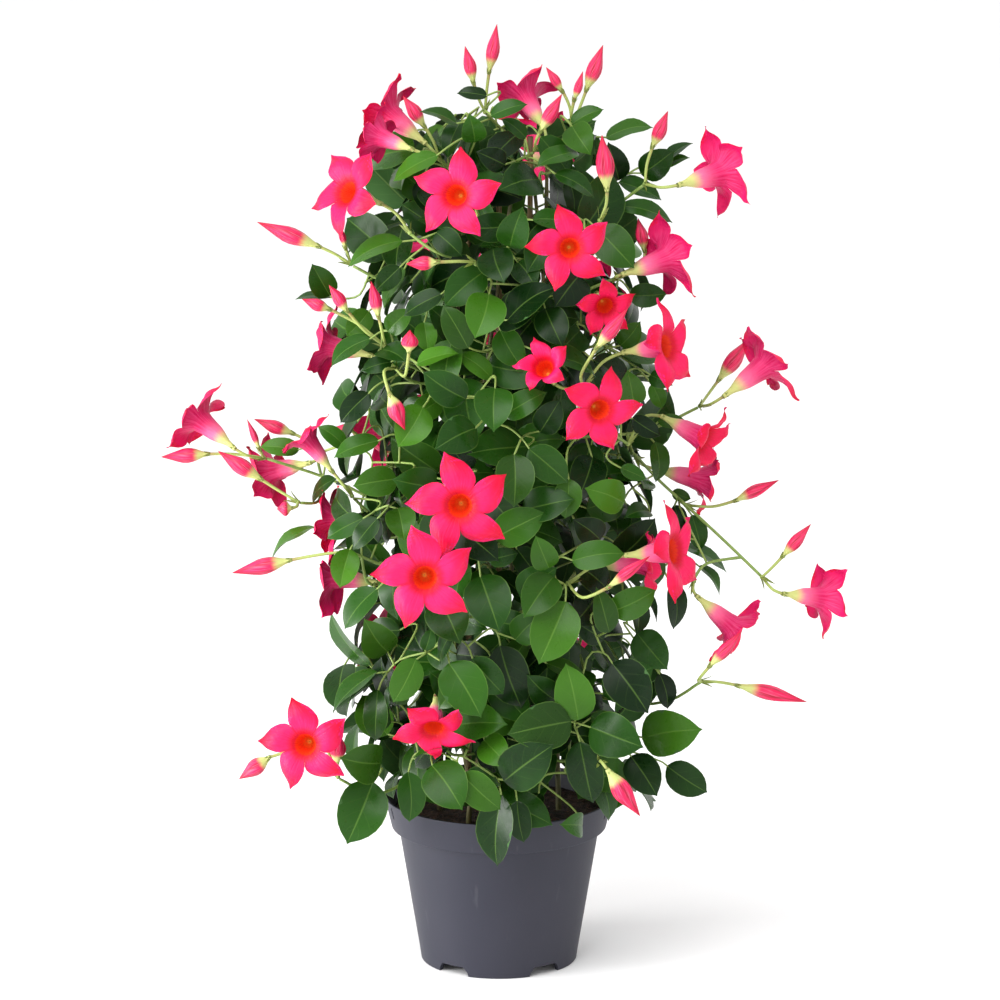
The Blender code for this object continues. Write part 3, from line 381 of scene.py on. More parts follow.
# The peat: dark, crumbly and moist, with reddish fibres and pale bits, poured in to a level just
# below the rim.
SOIL_TOP = 0.1110
SOIL_CROWN = 0.0022
PEAT_RADIUS = 0.0790
PEAT_MARGIN = 0.006
SOIL_RINGS = 22
SOIL_SIDES = 72
PEAT_UNDERSIDE = ((0.0768, 0.1035), (0.0715, 0.1000))
PEAT_FOOT_RADIUS = 0.0565

peat_finish, tree, shader = surface("peat", 0.92)
place = place_wire(tree, "Object")
crumb = place.noise(190.0, 6.0)
fleck = place.noise(520.0, 2.0)
soil = crumb.step(0.35, 0.68).mix((0.012, 0.006, 0.004), (0.075, 0.036, 0.022))
lead(fleck.step(0.62, 0.70).mix(soil, (0.170, 0.085, 0.040)), shader, "Base Color")
raise_surface(crumb + fleck * 0.3, shader, 1.0, 0.004)

soil_rows = []
for i in range(SOIL_RINGS):
    radius = PEAT_RADIUS * i / (SOIL_RINGS - 1)
    row = []
    for j in range(SOIL_SIDES):
        turn = 2 * math.pi * j / SOIL_SIDES
        x, y = radius * math.cos(turn), radius * math.sin(turn)
        rough = noise.noise(Vector((x, y, 0)) * 190) * 0.0016 + noise.noise(Vector((x, y, 3)) * 60) * 0.0014
        level = SOIL_TOP + SOIL_CROWN * (1 - (radius / PEAT_RADIUS) ** 2)
        row.append(Vector((x, y, level + rough * min(1.0, (PEAT_RADIUS - radius) / PEAT_MARGIN))))
    soil_rows.append(row)
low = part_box("potting_soil")[0][2]
soil_rows += turned_rows((*PEAT_UNDERSIDE, (PEAT_FOOT_RADIUS, low), (0.0, low)), SOIL_SIDES)
sheaf = Sheaf()
sheaf.grid(soil_rows, wrap=True, flip=True)
peat = sheaf.made("peat_surface", peat_finish)
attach(peat, "root")
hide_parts("potting_soil")

# The plant: six vines that wind up round three bamboo canes, with twigs, leaves and racemes. These
# sizes and the tables that follow place its parts, in front as the photograph shows them.
UP = Vector((0, 0, 1))
RIGHT = Vector((1, 0, 0))
SEAT_GAP = 0.0003
BURIED = 0.0300
CANE_RADIUS = 0.0022
CANE_RING = 0.0260
CANE_TOPS = (0.612, 0.560, 0.575)
VINE_COUNT = 6
VINE_RADIUS = 0.0021
VINE_TIP_RADIUS = 0.0013
VINE_FOOT_RING = 0.0440
VINE_TOP_RING = 0.0350
VINE_TOP = 0.600
VINE_TWIST = math.radians(110)
TWIG_RADIUS = 0.0011
STALK_RADIUS = 0.00080
PEDICEL_RADIUS = 0.0010
KNUCKLE_RADIUS = 0.0018
CLEAR = 0.0004
TRUMPET = 0.038
THROAT_RADIUS = 0.0100
PETAL_REACH = 0.0385
BLADE = 0.0012
LEAF_LENGTH = 0.047
LEAF_SHAPE = 0.66
LONGEST_LEAF = 0.056

# The leaf canopy's radius at heights above the floor.
CANOPY = (
    (0.09, 0.104),
    (0.16, 0.118),
    (0.26, 0.122),
    (0.36, 0.122),
    (0.46, 0.116),
    (0.55, 0.098),
    (0.62, 0.070),
    (0.68, 0.030),
)

# Racemes that the photograph shows. Each is (across, down, near) of the point where its stalk
# begins, its flowers and its buds. near is metres in front of the pot's axis. A flower is
# (across, down, near) of its throat, the way it faces as degrees to the right of the viewer and
# up, the angle of one petal's tip, its size and how wide it has opened. A bud is where its stalk
# ends, where its tip is, near, and its girth in millimetres.
RACEMES = (
    ((440, 160, 0.030),
     ((390, 115, 0.020, -120, 32, 80, 0.92, 0.75), (382, 138, 0.052, -122, 14, 30, 0.72, 0.6)),
     ((425, 127, 403, 96, 0.035, 10),)),
    ((410, 233, 0.060), ((347, 192, 0.060, -48, 20, 64, 0.90, 0.9),), ()),
    ((482, 232, 0.062), ((456, 195, 0.120, -15, 10, 88, 0.85, 0.95),), ()),
    ((485, 112, 0.010), (), ((489, 73, 497, 24, 0.010, 9.5), (474, 84, 465, 46, 0.015, 9))),
    ((535, 150, 0.042), ((526, 99, 0.000, -150, 36, 100, 0.85, 0.7),), ((540, 132, 562, 94, 0.055, 10),)),
    ((572, 127, 0.020), (),
     ((563, 92, 546, 67, 0.020, 7), (574, 101, 583, 71, 0.034, 6), (586, 91, 603, 45, 0.010, 11))),
    ((645, 184, 0.040), ((718, 174, 0.045, 126, 8, 70, 0.97, 0.75),), ((652, 148, 668, 111, 0.025, 10),)),
    ((600, 220, 0.080), (), ((607, 191, 602, 135, 0.085, 13),)),
    ((583, 270, 0.060), ((570, 248, 0.135, 3, 6, 106, 0.80, 0.95),), ()),
    ((618, 277, 0.055), ((664, 260, 0.055, 121, 12, 85, 0.97, 0.75),), ((645, 252, 638, 218, 0.030, 9),)),
    ((583, 388, 0.085), ((667, 346, 0.090, 62, 12, 96, 0.93, 0.85),
      (544, 368, 0.120, -20, 34, 117, 0.72, 0.35)),
     ((596, 349, 628, 308, 0.128, 10),)),
    ((584, 430, 0.070), ((600, 410, 0.140, 20, -3, 76, 0.81, 0.95),), ()),
    ((600, 330, 0.040), ((605, 306, 0.092, 12, -12, 100, 0.66, 0.65),), ()),
    ((700, 406, 0.010), ((763, 367, 0.020, 112, 32, 100, 0.97, 0.75),), ((718, 381, 750, 338, -0.020, 12),)),
    ((628, 444, 0.060), ((702, 438, 0.050, 62, -22, 20, 0.92, 0.5),), ()),
    ((636, 458, 0.020), ((698, 479, 0.000, 94, -14, 60, 0.88, 0.35),), ()),
    ((686, 505, 0.010), (), ((734, 501, 779, 480, 0.010, 9),)),
    ((568, 583, 0.085), ((674, 551, 0.100, 66, 10, 100, 1.0, 0.9), (641, 563, 0.055, 80, 8, 40, 0.85, 0.4)),
     ((607, 588, 650, 556, 0.135, 8),)),
    ((762, 577, 0.050), ((820, 598, 0.045, 118, -12, 50, 0.86, 0.62),), ((782, 557, 811, 524, 0.050, 9),)),
    ((694, 581, 0.040), ((731, 626, 0.045, 92, -42, 60, 0.90, 0.6),), ()),
    ((701, 681, 0.055), (), ((736, 685, 807, 702, 0.055, 11), (709, 667, 742, 631, 0.090, 9))),
    ((386, 347, 0.060), (),
     ((331, 310, 302, 299, 0.050, 9), (348, 312, 329, 285, 0.065, 9), (379, 318, 371, 281, 0.078, 9))),
    ((396, 368, 0.060), ((330, 346, 0.030, -106, 10, 45, 0.86, 0.75),),
     ((409, 352, 410, 330, 0.118, 12), (389, 393, 405, 430, 0.112, 12))),
    ((474, 262, 0.092), (), ((439, 262, 406, 264, 0.120, 10),)),
    ((351, 264, 0.020), (), ((320, 247, 257, 222, 0.020, 12), (346, 249, 338, 223, 0.020, 5))),
    ((264, 458, -0.030), ((201, 421, -0.035, -118, 32, 100, 0.90, 0.75),),
     ((209, 454, 161, 457, -0.030, 11), (260, 450, 247, 419, -0.024, 5))),
    ((298, 502, 0.010), (), ((262, 480, 218, 451, 0.005, 12), (292, 508, 277, 509, 0.020, 11))),
    ((352, 496, 0.030), ((309, 442, 0.020, -104, 50, 110, 0.74, 0.5),), ()),
    ((322, 452, -0.035), ((273, 471, -0.035, -116, -16, 120, 0.88, 0.75),),
     ((294, 434, 254, 419, -0.040, 10), (352, 431, 335, 427, -0.012, 8))),
    ((350, 551, 0.050), (), ((291, 560, 232, 573, 0.045, 12),)),
    ((374, 585, 0.050), ((334, 577, 0.030, -104, 4, 100, 0.92, 0.9),), ()),
    ((370, 527, 0.015), ((334, 519, 0.000, -112, 4, 60, 0.78, 0.7),), ()),
    ((474, 523, 0.080), ((460, 506, 0.150, -3, 4, 107, 0.97, 1.0),), ()),
    ((440, 602, 0.090), ((425, 578, 0.172, 2, 4, 104, 0.95, 1.0),), ()),
    ((338, 777, 0.060), ((305, 745, 0.100, -12, 4, 107, 0.90, 0.95),),
     ((270, 757, 239, 779, 0.060, 12), (337, 764, 338, 731, 0.068, 12))),
    ((445, 745, 0.052), ((434, 729, 0.118, -2, -34, 126, 0.84, 0.8),), ()),
    ((600, 762, 0.100), (), ((607, 769, 640, 816, 0.124, 14),)),
)

# Racemes on the far side, which the photograph doesn't show: azimuth round the pot's axis (90 is
# straight behind), height, reach from the axis, the flower's size, and the number of buds.
FAR_RACEMES = (
    (68, 0.590, 0.104, 0.95, 1),
    (112, 0.520, 0.122, 1.00, 0),
    (84, 0.440, 0.150, 1.00, 2),
    (58, 0.480, 0.130, 0.90, 0),
    (124, 0.380, 0.140, 1.00, 1),
    (62, 0.330, 0.146, 1.00, 1),
    (98, 0.290, 0.169, 0.95, 1),
    (128, 0.220, 0.138, 1.00, 0),
    (72, 0.190, 0.146, 0.90, 1),
)

# Leaves that the photograph shows: (across, down) of the blade's base and of its tip, the width
# that shows, all in its pixels, and how many layers the leaf lies behind the canopy's face.
LEAVES = (
    (457, 124, 421, 109, 13, 0), (438, 157, 389, 184, 21, 0), (487, 96, 457, 92, 14, 0),
    (491, 116, 527, 103, 17, 0), (475, 142, 470, 116, 24, 0), (526, 138, 502, 118, 15, 1),
    (462, 120, 447, 158, 20, 1), (571, 126, 603, 110, 17, 1), (572, 126, 590, 153, 30, 0),
    (606, 138, 652, 124, 18, 0), (619, 180, 609, 144, 28, 0), (641, 174, 673, 151, 30, 0),
    (664, 164, 692, 142, 11, 1), (664, 168, 689, 156, 11, 1), (619, 182, 662, 199, 19, 0),
    (620, 206, 673, 221, 19, 0), (555, 174, 595, 197, 18, 0), (577, 152, 537, 163, 19, 0),
    (505, 165, 478, 152, 24, 1), (597, 229, 634, 268, 38, 0), (629, 296, 667, 294, 24, 0),
    (510, 247, 522, 209, 31, 0), (493, 249, 504, 282, 36, 0), (489, 294, 475, 338, 40, 0),
    (468, 348, 443, 305, 28, 0), (545, 308, 562, 346, 33, 0), (518, 262, 535, 287, 28, 1),
    (592, 305, 551, 296, 19, 1), (402, 241, 347, 265, 20, 0), (400, 267, 375, 291, 22, 0),
    (405, 268, 381, 308, 15, 1), (442, 294, 403, 315, 21, 0), (330, 296, 312, 264, 27, 0),
    (330, 297, 295, 298, 9, 0), (371, 339, 329, 364, 19, 0), (369, 311, 346, 336, 24, 1),
    (392, 362, 361, 371, 17, 1), (398, 363, 398, 398, 27, 0), (424, 322, 428, 353, 22, 1),
    (417, 364, 458, 352, 16, 0), (369, 393, 340, 423, 25, 0), (423, 407, 398, 447, 35, 0),
    (466, 399, 423, 372, 33, 0), (495, 388, 494, 430, 38, 0), (476, 428, 437, 448, 37, 0),
    (504, 416, 546, 391, 25, 0), (491, 378, 458, 353, 20, 1), (345, 447, 318, 426, 18, 0),
    (299, 450, 260, 446, 19, 0), (379, 441, 333, 456, 20, 1), (397, 479, 353, 486, 30, 0),
    (436, 488, 395, 480, 36, 0), (314, 527, 267, 558, 9, 0), (364, 518, 326, 538, 22, 0),
    (378, 518, 352, 550, 20, 0), (350, 549, 340, 588, 28, 0), (313, 497, 336, 478, 15, 1),
    (398, 508, 404, 539, 30, 1), (377, 589, 344, 629, 25, 0), (388, 652, 366, 622, 36, 1),
    (529, 449, 568, 483, 33, 0), (514, 454, 514, 507, 38, 0), (495, 538, 545, 513, 36, 0),
    (569, 479, 565, 519, 27, 0), (624, 503, 587, 489, 34, 0), (572, 561, 625, 553, 28, 0),
    (549, 568, 536, 537, 27, 0), (488, 560, 518, 553, 19, 0), (480, 576, 499, 631, 46, 0),
    (440, 600, 459, 641, 44, 1), (425, 650, 431, 629, 15, 0), (566, 602, 539, 664, 47, 0),
    (472, 659, 504, 695, 30, 0), (500, 646, 522, 709, 42, 1), (449, 663, 481, 717, 45, 0),
    (416, 659, 393, 703, 30, 0), (378, 690, 375, 742, 25, 0), (377, 672, 331, 711, 15, 0),
    (396, 704, 404, 680, 20, 1), (578, 720, 566, 664, 40, 0), (571, 721, 509, 734, 47, 0),
    (590, 727, 642, 747, 45, 0), (580, 742, 592, 805, 38, 0), (612, 663, 648, 713, 45, 0),
    (637, 633, 667, 669, 35, 1), (659, 673, 668, 709, 21, 0), (642, 738, 700, 730, 47, 1),
    (631, 756, 657, 796, 36, 0), (667, 766, 708, 793, 33, 0), (504, 781, 552, 746, 46, 0),
    (502, 795, 496, 867, 35, 0), (517, 801, 524, 843, 25, 0), (462, 773, 501, 809, 33, 0),
    (432, 765, 462, 809, 45, 0), (408, 772, 410, 823, 28, 0), (373, 782, 347, 844, 49, 0),
    (381, 763, 341, 758, 41, 0), (484, 740, 508, 765, 32, 1), (414, 758, 468, 744, 16, 0),
    (634, 405, 628, 372, 27, 0), (650, 375, 672, 385, 19, 0), (652, 384, 662, 409, 17, 1),
    (632, 418, 661, 436, 20, 1), (658, 421, 690, 427, 15, 0), (655, 442, 658, 483, 20, 0),
    (620, 468, 648, 480, 16, 1), (650, 512, 626, 516, 17, 0), (672, 492, 691, 499, 13, 0),
    (674, 505, 682, 541, 18, 0), (692, 515, 702, 551, 21, 0), (682, 546, 728, 570, 13, 0),
    (699, 566, 722, 593, 10, 0), (611, 612, 656, 590, 31, 0), (609, 632, 598, 588, 25, 0),
    (672, 583, 675, 630, 21, 0), (600, 540, 574, 520, 30, 1), (455, 560, 440, 585, 26, 1),
    (604, 640, 575, 622, 24, 1), (540, 432, 560, 400, 28, 1), (470, 470, 448, 440, 28, 1),
    (500, 330, 522, 368, 30, 1), (600, 250, 588, 222, 22, 1), (436, 232, 462, 256, 26, 1),
    (388, 332, 412, 310, 22, 1), (440, 400, 410, 418, 26, 2), (620, 346, 640, 322, 22, 1),
    (515, 640, 545, 612, 30, 1), (456, 690, 430, 672, 30, 1), (556, 700, 528, 676, 30, 1),
)


# Leafy sprigs round the sides and back: how many, the golden angle that spreads them, the share of
# the canopy's radius at which their leaves begin, and the front that they leave free.
FAR_SPRIGS = 27
GOLDEN_TURN = math.radians(137.508)
SPRIG_REACH = 0.74
FRONT_SECTOR = math.radians(66)


def seen(across, down, near):
    """The point that the photograph shows at a pixel, near metres in front of the pot's axis."""
    right = (across - MIDDLE_ACROSS) * PIXEL / VIEW_DISTANCE
    rise = (MIDDLE_DOWN - down) * PIXEL / VIEW_DISTANCE
    ahead = math.cos(VIEW_PITCH) + rise * math.sin(VIEW_PITCH)
    way = (VIEW_DISTANCE * math.cos(VIEW_PITCH) - near) / ahead
    sink = rise * math.cos(VIEW_PITCH) - math.sin(VIEW_PITCH)
    return Vector((right * way, -near, VIEW_HEIGHT + VIEW_DISTANCE * math.sin(VIEW_PITCH) + sink * way))


def canopy_radius(height):
    """The leaf canopy's radius at a height above the floor."""
    for (low, narrow), (high, wide) in zip(CANOPY, CANOPY[1:]):
        if height <= high:
            return narrow + (wide - narrow) * max(0.0, (height - low) / (high - low))
    return CANOPY[-1][1]


def nearness(across, down, layers):
    """How far in front of the axis the canopy's face is at a pixel, less 16 mm for each layer."""
    near = 0.0
    for _ in range(4):
        point = seen(across, down, near)
        radius = canopy_radius(point.z)
        near = math.sqrt(max(0.0, radius**2 - point.x**2)) * 0.92 - 0.016 * layers
    return near


def aim(yaw, pitch):
    """The direction that is yaw degrees right of the viewer and pitch degrees up."""
    turn, rise = math.radians(yaw), math.radians(pitch)
    return Vector((math.sin(turn) * math.cos(rise), -math.cos(turn) * math.cos(rise), math.sin(rise)))


def bezier(start, middle, end, count):
    """Points along a quadratic curve, both ends included."""
    shares = [i / (count - 1) for i in range(count)]
    return [start * (1 - s) ** 2 + middle * 2 * s * (1 - s) + end * s**2 for s in shares]


def loft(sections):
    """Points and faces that skin sections one after another. One point closes an end, and other
    ends are capped. Quads are split from even points to odd ones, so both faces split alike."""
    points = [point for section in sections for point in section]
    faces = []
    low = 0
    for section, following in zip(sections, sections[1:]):
        high = low + len(section)
        count = max(len(section), len(following))
        for i in range(count):
            j = (i + 1) % count
            if len(section) == 1:
                faces.append((low, high + j, high + i))
            elif len(following) == 1:
                faces.append((low + i, low + j, high))
            elif i % 2 == 0:
                faces += [(low + i, low + j, high + j), (low + i, high + j, high + i)]
            else:
                faces += [(low + i, low + j, high + i), (low + j, high + j, high + i)]
        low = high
    for first, section in ((0, sections[0]), (low, sections[-1])):
        if len(section) > 2:
            faces.append(tuple(range(first, first + len(section))))
    return points, faces


def ring(centre, along, side, radius, sides):
    """Points round a circle that faces along."""
    other = along.cross(side).normalized()
    turns = [2 * math.pi * i / sides for i in range(sides)]
    return [centre + (side * math.cos(t) + other * math.sin(t)) * radius for t in turns]


def stem_skin(path, thick, thin, grow):
    """A tapering stem along a path, with four sides."""
    sections = []
    side = None
    last = len(path) - 1
    for i, point in enumerate(path):
        along = (path[min(i + 1, last)] - path[max(i - 1, 0)]).normalized()
        side = along.orthogonal() if side is None else side - along * side.dot(along)
        side.normalize()
        sections.append(ring(point, along, side, thick + (thin - thick) * i / last + grow, 4))
    return loft(sections)


# Shares of a blade's length and of its half width, and how much it folds and arches.
BLADE_STATIONS = ((0.0, 0.08), (0.22, 0.84), (0.58, 0.92))
LEAF_FOLD = 0.20
LEAF_ARCH = 0.07


def blade_sections(base, tip, width, up, grow):
    """Sections of a folded and arched leaf blade, with sharp edges and a point."""
    along = tip - base
    side = along.cross(up).normalized()
    lift = side.cross(along).normalized()
    sections = []
    for share, spread in BLADE_STATIONS:
        centre = base + along * share + lift * (LEAF_ARCH * along.length * 4 * share * (1 - share))
        half = side * (width / 2 * spread + grow)
        rise = lift * (width / 2 * spread * LEAF_FOLD)
        thick = lift * (BLADE / 2 + grow)
        sections.append([centre - half + rise, centre + thick, centre + half + rise, centre - thick])
    return [*sections, [tip + along.normalized() * grow]]


# A petal's outline: the notches beside it, and the radius and turn of its two shoulders and tip.
PETALS = 5
NOTCH_TURN = math.radians(36)
NOTCH_RADIUS = 0.0185
PETAL_LEAN = math.radians(16)
SHOULDERS = ((0.0270, math.radians(31)), (0.0250, -math.radians(25)))

# How far forward a petal runs for its reach where the flower hasn't opened flat.
FLARE = 1.6


def flower_axes(facing, roll):
    """Two directions across a flower, the first turned by roll degrees from the level."""
    level = UP.cross(facing)
    level = level.normalized() if level.length > 1e-3 else RIGHT
    rise = facing.cross(level).normalized()
    turn = math.radians(roll)
    return level * math.cos(turn) + rise * math.sin(turn), rise * math.cos(turn) - level * math.sin(turn)


def corolla_skin(throat, facing, roll, size, spread):
    """A trumpet, hollow at the throat, that flares into five petals with tips leaning one way."""
    across, over = flower_axes(facing, roll)
    points, faces = [], []

    def row(radius, turns, forward):
        first = len(points)
        for turn in turns:
            spoke = across * math.cos(turn) + over * math.sin(turn)
            points.append(throat + (spoke * radius + facing * forward) * size)
        return list(range(first, len(points)))

    opened = 0.35 + 0.65 * spread

    def petal(radius, turn, forward):
        radius = THROAT_RADIUS + (radius - THROAT_RADIUS) * opened
        return row(radius, [turn], forward + (radius - THROAT_RADIUS) * (1 - spread) * FLARE)[0]

    middles = [2 * math.pi * k / PETALS - PETAL_LEAN for k in range(PETALS)]
    gaps = [m - NOTCH_TURN for m in middles]
    notches = [petal(NOTCH_RADIUS, gap, 0.0028) for gap in gaps]
    mouth_in = row(THROAT_RADIUS * 0.92, gaps, 0.0004)
    mouth_out = row(THROAT_RADIUS * 1.02, gaps, -0.0016)
    waist = row(0.0068, gaps, -0.017)
    foot = row(0.0018, gaps, -TRUMPET)
    deep = row(0.0, [0.0], -0.020)[0]
    for i in range(PETALS):
        j = (i + 1) % PETALS
        faces.append((mouth_in[i], mouth_in[j], deep))
        for wide, narrow in ((mouth_out, waist), (waist, foot)):
            faces += [(wide[i], narrow[i], narrow[j]), (wide[i], narrow[j], wide[j])]
        middle = middles[i]
        turned = 0.6 + 0.4 * opened
        rims = [petal(radius, middle + turn * turned, 0.002) for radius, turn in SHOULDERS]
        tip = petal(PETAL_REACH, middle + PETAL_LEAN, -0.004)
        for forward, mouth in ((0.0042, mouth_in), (0.0026, mouth_out)):
            centre = petal(0.0220, middle, forward)
            outline = [mouth[i], mouth[j], notches[j], rims[0], tip, rims[1], notches[i], mouth[i]]
            faces += [(centre, a, b) for a, b in zip(outline, outline[1:])]
    faces.append(tuple(foot))
    return points, faces


# Shares of a bud's length and girth.
BUD_STATIONS = ((0.0, 0.26), (0.42, 1.0), (0.74, 0.56))


def bud_skin(base, tip, girth):
    """A furled bud with a long point."""
    along = tip - base
    side = along.orthogonal().normalized()
    way = along.normalized()
    sections = [ring(base + along * s, way, side, girth / 2 * g, 4) for s, g in BUD_STATIONS]
    return loft([*sections, [tip]])


def shape(skin):
    """The box and search tree of a skin, to test what would cross it."""
    points, faces = skin
    low = [min(p[i] for p in points) for i in range(3)]
    high = [max(p[i] for p in points) for i in range(3)]
    return low, high, BVHTree.FromPolygons(points, faces)


def crosses(one, others):
    """Whether a shape's faces cut those of any other."""
    (x0, y0, z0), (x1, y1, z1), tree = one
    for low, high, other in others:
        if x0 > high[0] or x1 < low[0] or y0 > high[1] or y1 < low[1] or z0 > high[2] or z1 < low[2]:
            continue
        if tree.overlap(other):
            return True
    return False


class Plant:
    """What has grown so far. Stems are (vine, path, thick, thin), leaves are (vine, stalk, base,
    tip, width, up), and racemes are (place, flowers, buds, stalks)."""

    def __init__(self):
        self.stems = []
        self.leaves = []
        self.racemes = []
        self.forks = []
        self.flowers = []
        self.blades = []
        self.canes = []
        self.wood = {vine: [] for vine in range(VINE_COUNT)}
        for vine in range(VINE_COUNT):
            self.add_stem(vine, vine_path(vine), VINE_RADIUS, VINE_TIP_RADIUS)
        for number, top in enumerate(CANE_TOPS):
            foot = cane_foot(number)
            path = [foot, Vector((foot.x, foot.y, top))]
            self.canes.append(shape(stem_skin(path, CANE_RADIUS, CANE_RADIUS, CLEAR)))
        ends = (0.030, POT_HEIGHT + CLEAR)
        guard = [ring(UP * z, UP, RIGHT, RIM_RADIUS + CLEAR, 24) for z in ends]
        self.pot = shape(loft(guard))

    def add_stem(self, vine, path, thick, thin):
        """Keeps a stem."""
        self.stems.append((vine, path, thick, thin))
        self.add_forks(vine, path, thick)

    def add_forks(self, vine, path, thick):
        """Keeps the places along a path that others can grow from."""
        self.wood[vine].append(shape(stem_skin(path, thick, thick, 0)))
        for start, end in zip(path, path[1:]):
            steps = max(1, round((end - start).length / 0.007))
            for i in range(1, steps + 1):
                point = start.lerp(end, i / steps)
                if point.z > POT_HEIGHT + 0.008:
                    self.forks.append((point, vine))

    def blocked(self, one, own=None):
        """Whether a shape would cut anything but its own vine's wood."""
        groups = [self.flowers, self.canes, [self.pot], self.blades]
        groups += [wood for vine, wood in self.wood.items() if vine != own]
        return any(crosses(one, group) for group in groups)

    def route(self, end, way):
        """The vine and path of a twig that reaches end along way, from the nearest wood that has a
        clear way there."""
        ranked = sorted(self.forks, key=lambda f: (f[0] - end).length + 0.7 * max(0.0, f[0].z - end.z))
        for bend in (0.42, 0.25, 0.60):
            for start, vine in ranked[:30]:
                gap = (end - start).length
                if gap < 0.005:
                    continue
                straight = gap < 0.02 and (end - start).dot(way) > 0.7 * gap
                path = bezier(start, end - way * (bend * gap), end, 2 if straight else 3)
                probe = [*path[:-1], path[-1] + (path[-1] - path[-2]).normalized() * CLEAR]
                if not self.blocked(shape(stem_skin(probe, TWIG_RADIUS, TWIG_RADIUS, CLEAR)), vine):
                    return vine, path
        return None, []

    def grow(self, end, way):
        """Grows a twig that reaches end along way."""
        vine, path = self.route(end, way)
        if vine is not None:
            self.add_stem(vine, path, TWIG_RADIUS, TWIG_RADIUS)
        return vine

    def place_leaf(self, base, tip, width, up, out, tries):
        """Places a leaf near where it is asked for, clear of everything, on the nearest wood."""
        for shift, roll, shrink in tries:
            start = base + out * shift
            end = start + (tip - base) * shrink
            way = (end - start).normalized()
            face = Matrix.Rotation(math.radians(roll), 3, way) @ up
            wide = width * shrink
            if self.blocked(shape(loft(blade_sections(start, end, wide, face, CLEAR)))):
                continue
            near = [(p, v) for p, v in self.forks if 0.005 < (p - start).length < 0.018]
            near = [(p, v) for p, v in near if (start - p).dot(way) > 0.1 * (start - p).length]
            near.sort(key=lambda f: (f[0] - start).length)
            for root, vine in near[:6]:
                if self.add_leaf(vine, [root], start, end, wide, face):
                    return True
            level = Vector((start.x, start.y, 0))
            back = (way + level.normalized() * 0.9 - Vector((0, 0, 0.5))).normalized()
            root = start - back * 0.010
            vine, path = self.route(root, back)
            if vine is not None and self.add_leaf(vine, path, start, end, wide, face):
                self.add_forks(vine, path, STALK_RADIUS)
                return True
        return False

    def add_leaf(self, vine, stalk, base, tip, width, up):
        """Keeps a leaf if the end of its stalk is clear."""
        ends = [stalk[-1], base]
        if self.blocked(shape(stem_skin(ends, STALK_RADIUS, STALK_RADIUS, CLEAR)), vine):
            return False
        self.leaves.append((vine, stalk, base, tip, width, up))
        self.blades.append(shape(loft(blade_sections(base, tip, width, up, 0))))
        self.wood[vine].append(shape(stem_skin(ends, STALK_RADIUS, STALK_RADIUS, 0)))
        return True

    def add_raceme(self, start, flowers, buds):
        """Keeps a raceme, moved nearer or farther until it is clear, and grows a twig to it."""
        for shift in (0, 0.006, -0.006, 0.012, -0.012, 0.018, -0.018):
            place, corollas, furled = start(shift), flowers(shift), buds(shift)
            skins = [corolla_skin(*flower) for flower in corollas]
            skins += [bud_skin(*bud) for bud in furled]
            stalks = []
            for throat, facing, _, size, _ in corollas:
                foot = throat - facing * (TRUMPET * size)
                stalks.append(bezier(place, foot - facing * ((foot - place).length * 0.45), foot, 3))
            for base, tip, _ in furled:
                way = (tip - base).normalized()
                stalks.append(bezier(place, base - way * ((base - place).length * 0.45), base, 3))
            skins += [stem_skin(path, PEDICEL_RADIUS, PEDICEL_RADIUS, 0) for path in stalks]
            lift = Vector((0, 0, KNUCKLE_RADIUS))
            belt = ring(place, lift.normalized(), RIGHT, KNUCKLE_RADIUS, 4)
            skins.append(loft([[place - lift], belt, [place + lift]]))
            shapes = [shape(skin) for skin in skins]
            wood = [one for group in self.wood.values() for one in group]
            if not any(crosses(one, self.flowers + self.canes + wood + [self.pot]) for one in shapes):
                break
        else:
            return False
        mean = sum((path[1] - place for path in stalks), Vector()).normalized()
        self.flowers += shapes
        for gap in (0.75, 0.95, 1.2, 1.5):
            for lift in (0, 0.8, -0.8):
                way = (mean + Vector((0, 0, lift))).normalized()
                if self.grow(place - way * (KNUCKLE_RADIUS * gap), way) is not None:
                    self.racemes.append((place, corollas, furled, stalks))
                    return True
        del self.flowers[-len(shapes):]
        return False


def vine_path(vine):
    """A vine's centreline: upright in the soil, then wound round the canes."""
    heights = [SOIL_TOP - BURIED + SEAT_GAP, SOIL_TOP + 0.008]
    count = 14
    heights += [heights[1] + (VINE_TOP - heights[1]) * (i + 1) / count for i in range(count)]
    path = []
    for height in heights:
        share = max(0.0, (height - heights[1]) / (VINE_TOP - heights[1]))
        turn = 2 * math.pi * vine / VINE_COUNT + VINE_TWIST * share
        reach = VINE_FOOT_RING + (VINE_TOP_RING - VINE_FOOT_RING) * share
        path.append(Vector((reach * math.cos(turn), reach * math.sin(turn), height)))
    return path


def cane_foot(number):
    """The foot of a cane, in the soil."""
    turn = 2 * math.pi * number / len(CANE_TOPS) + math.radians(30)
    return Vector((CANE_RING * math.cos(turn), CANE_RING * math.sin(turn), SOIL_TOP - BURIED + SEAT_GAP))


def flower_from(entry, shift):
    """A flower from its row: throat, facing, roll, size and spread."""
    across, down, near, yaw, pitch, roll, size, spread = entry
    return seen(across, down, near + shift), aim(yaw, pitch), roll, size, spread


def bud_from(entry, shift):
    """A bud from its row: base, tip and girth."""
    x0, y0, x1, y1, near, girth = entry
    return seen(x0, y0, near + shift), seen(x1, y1, near + shift), girth / 1000


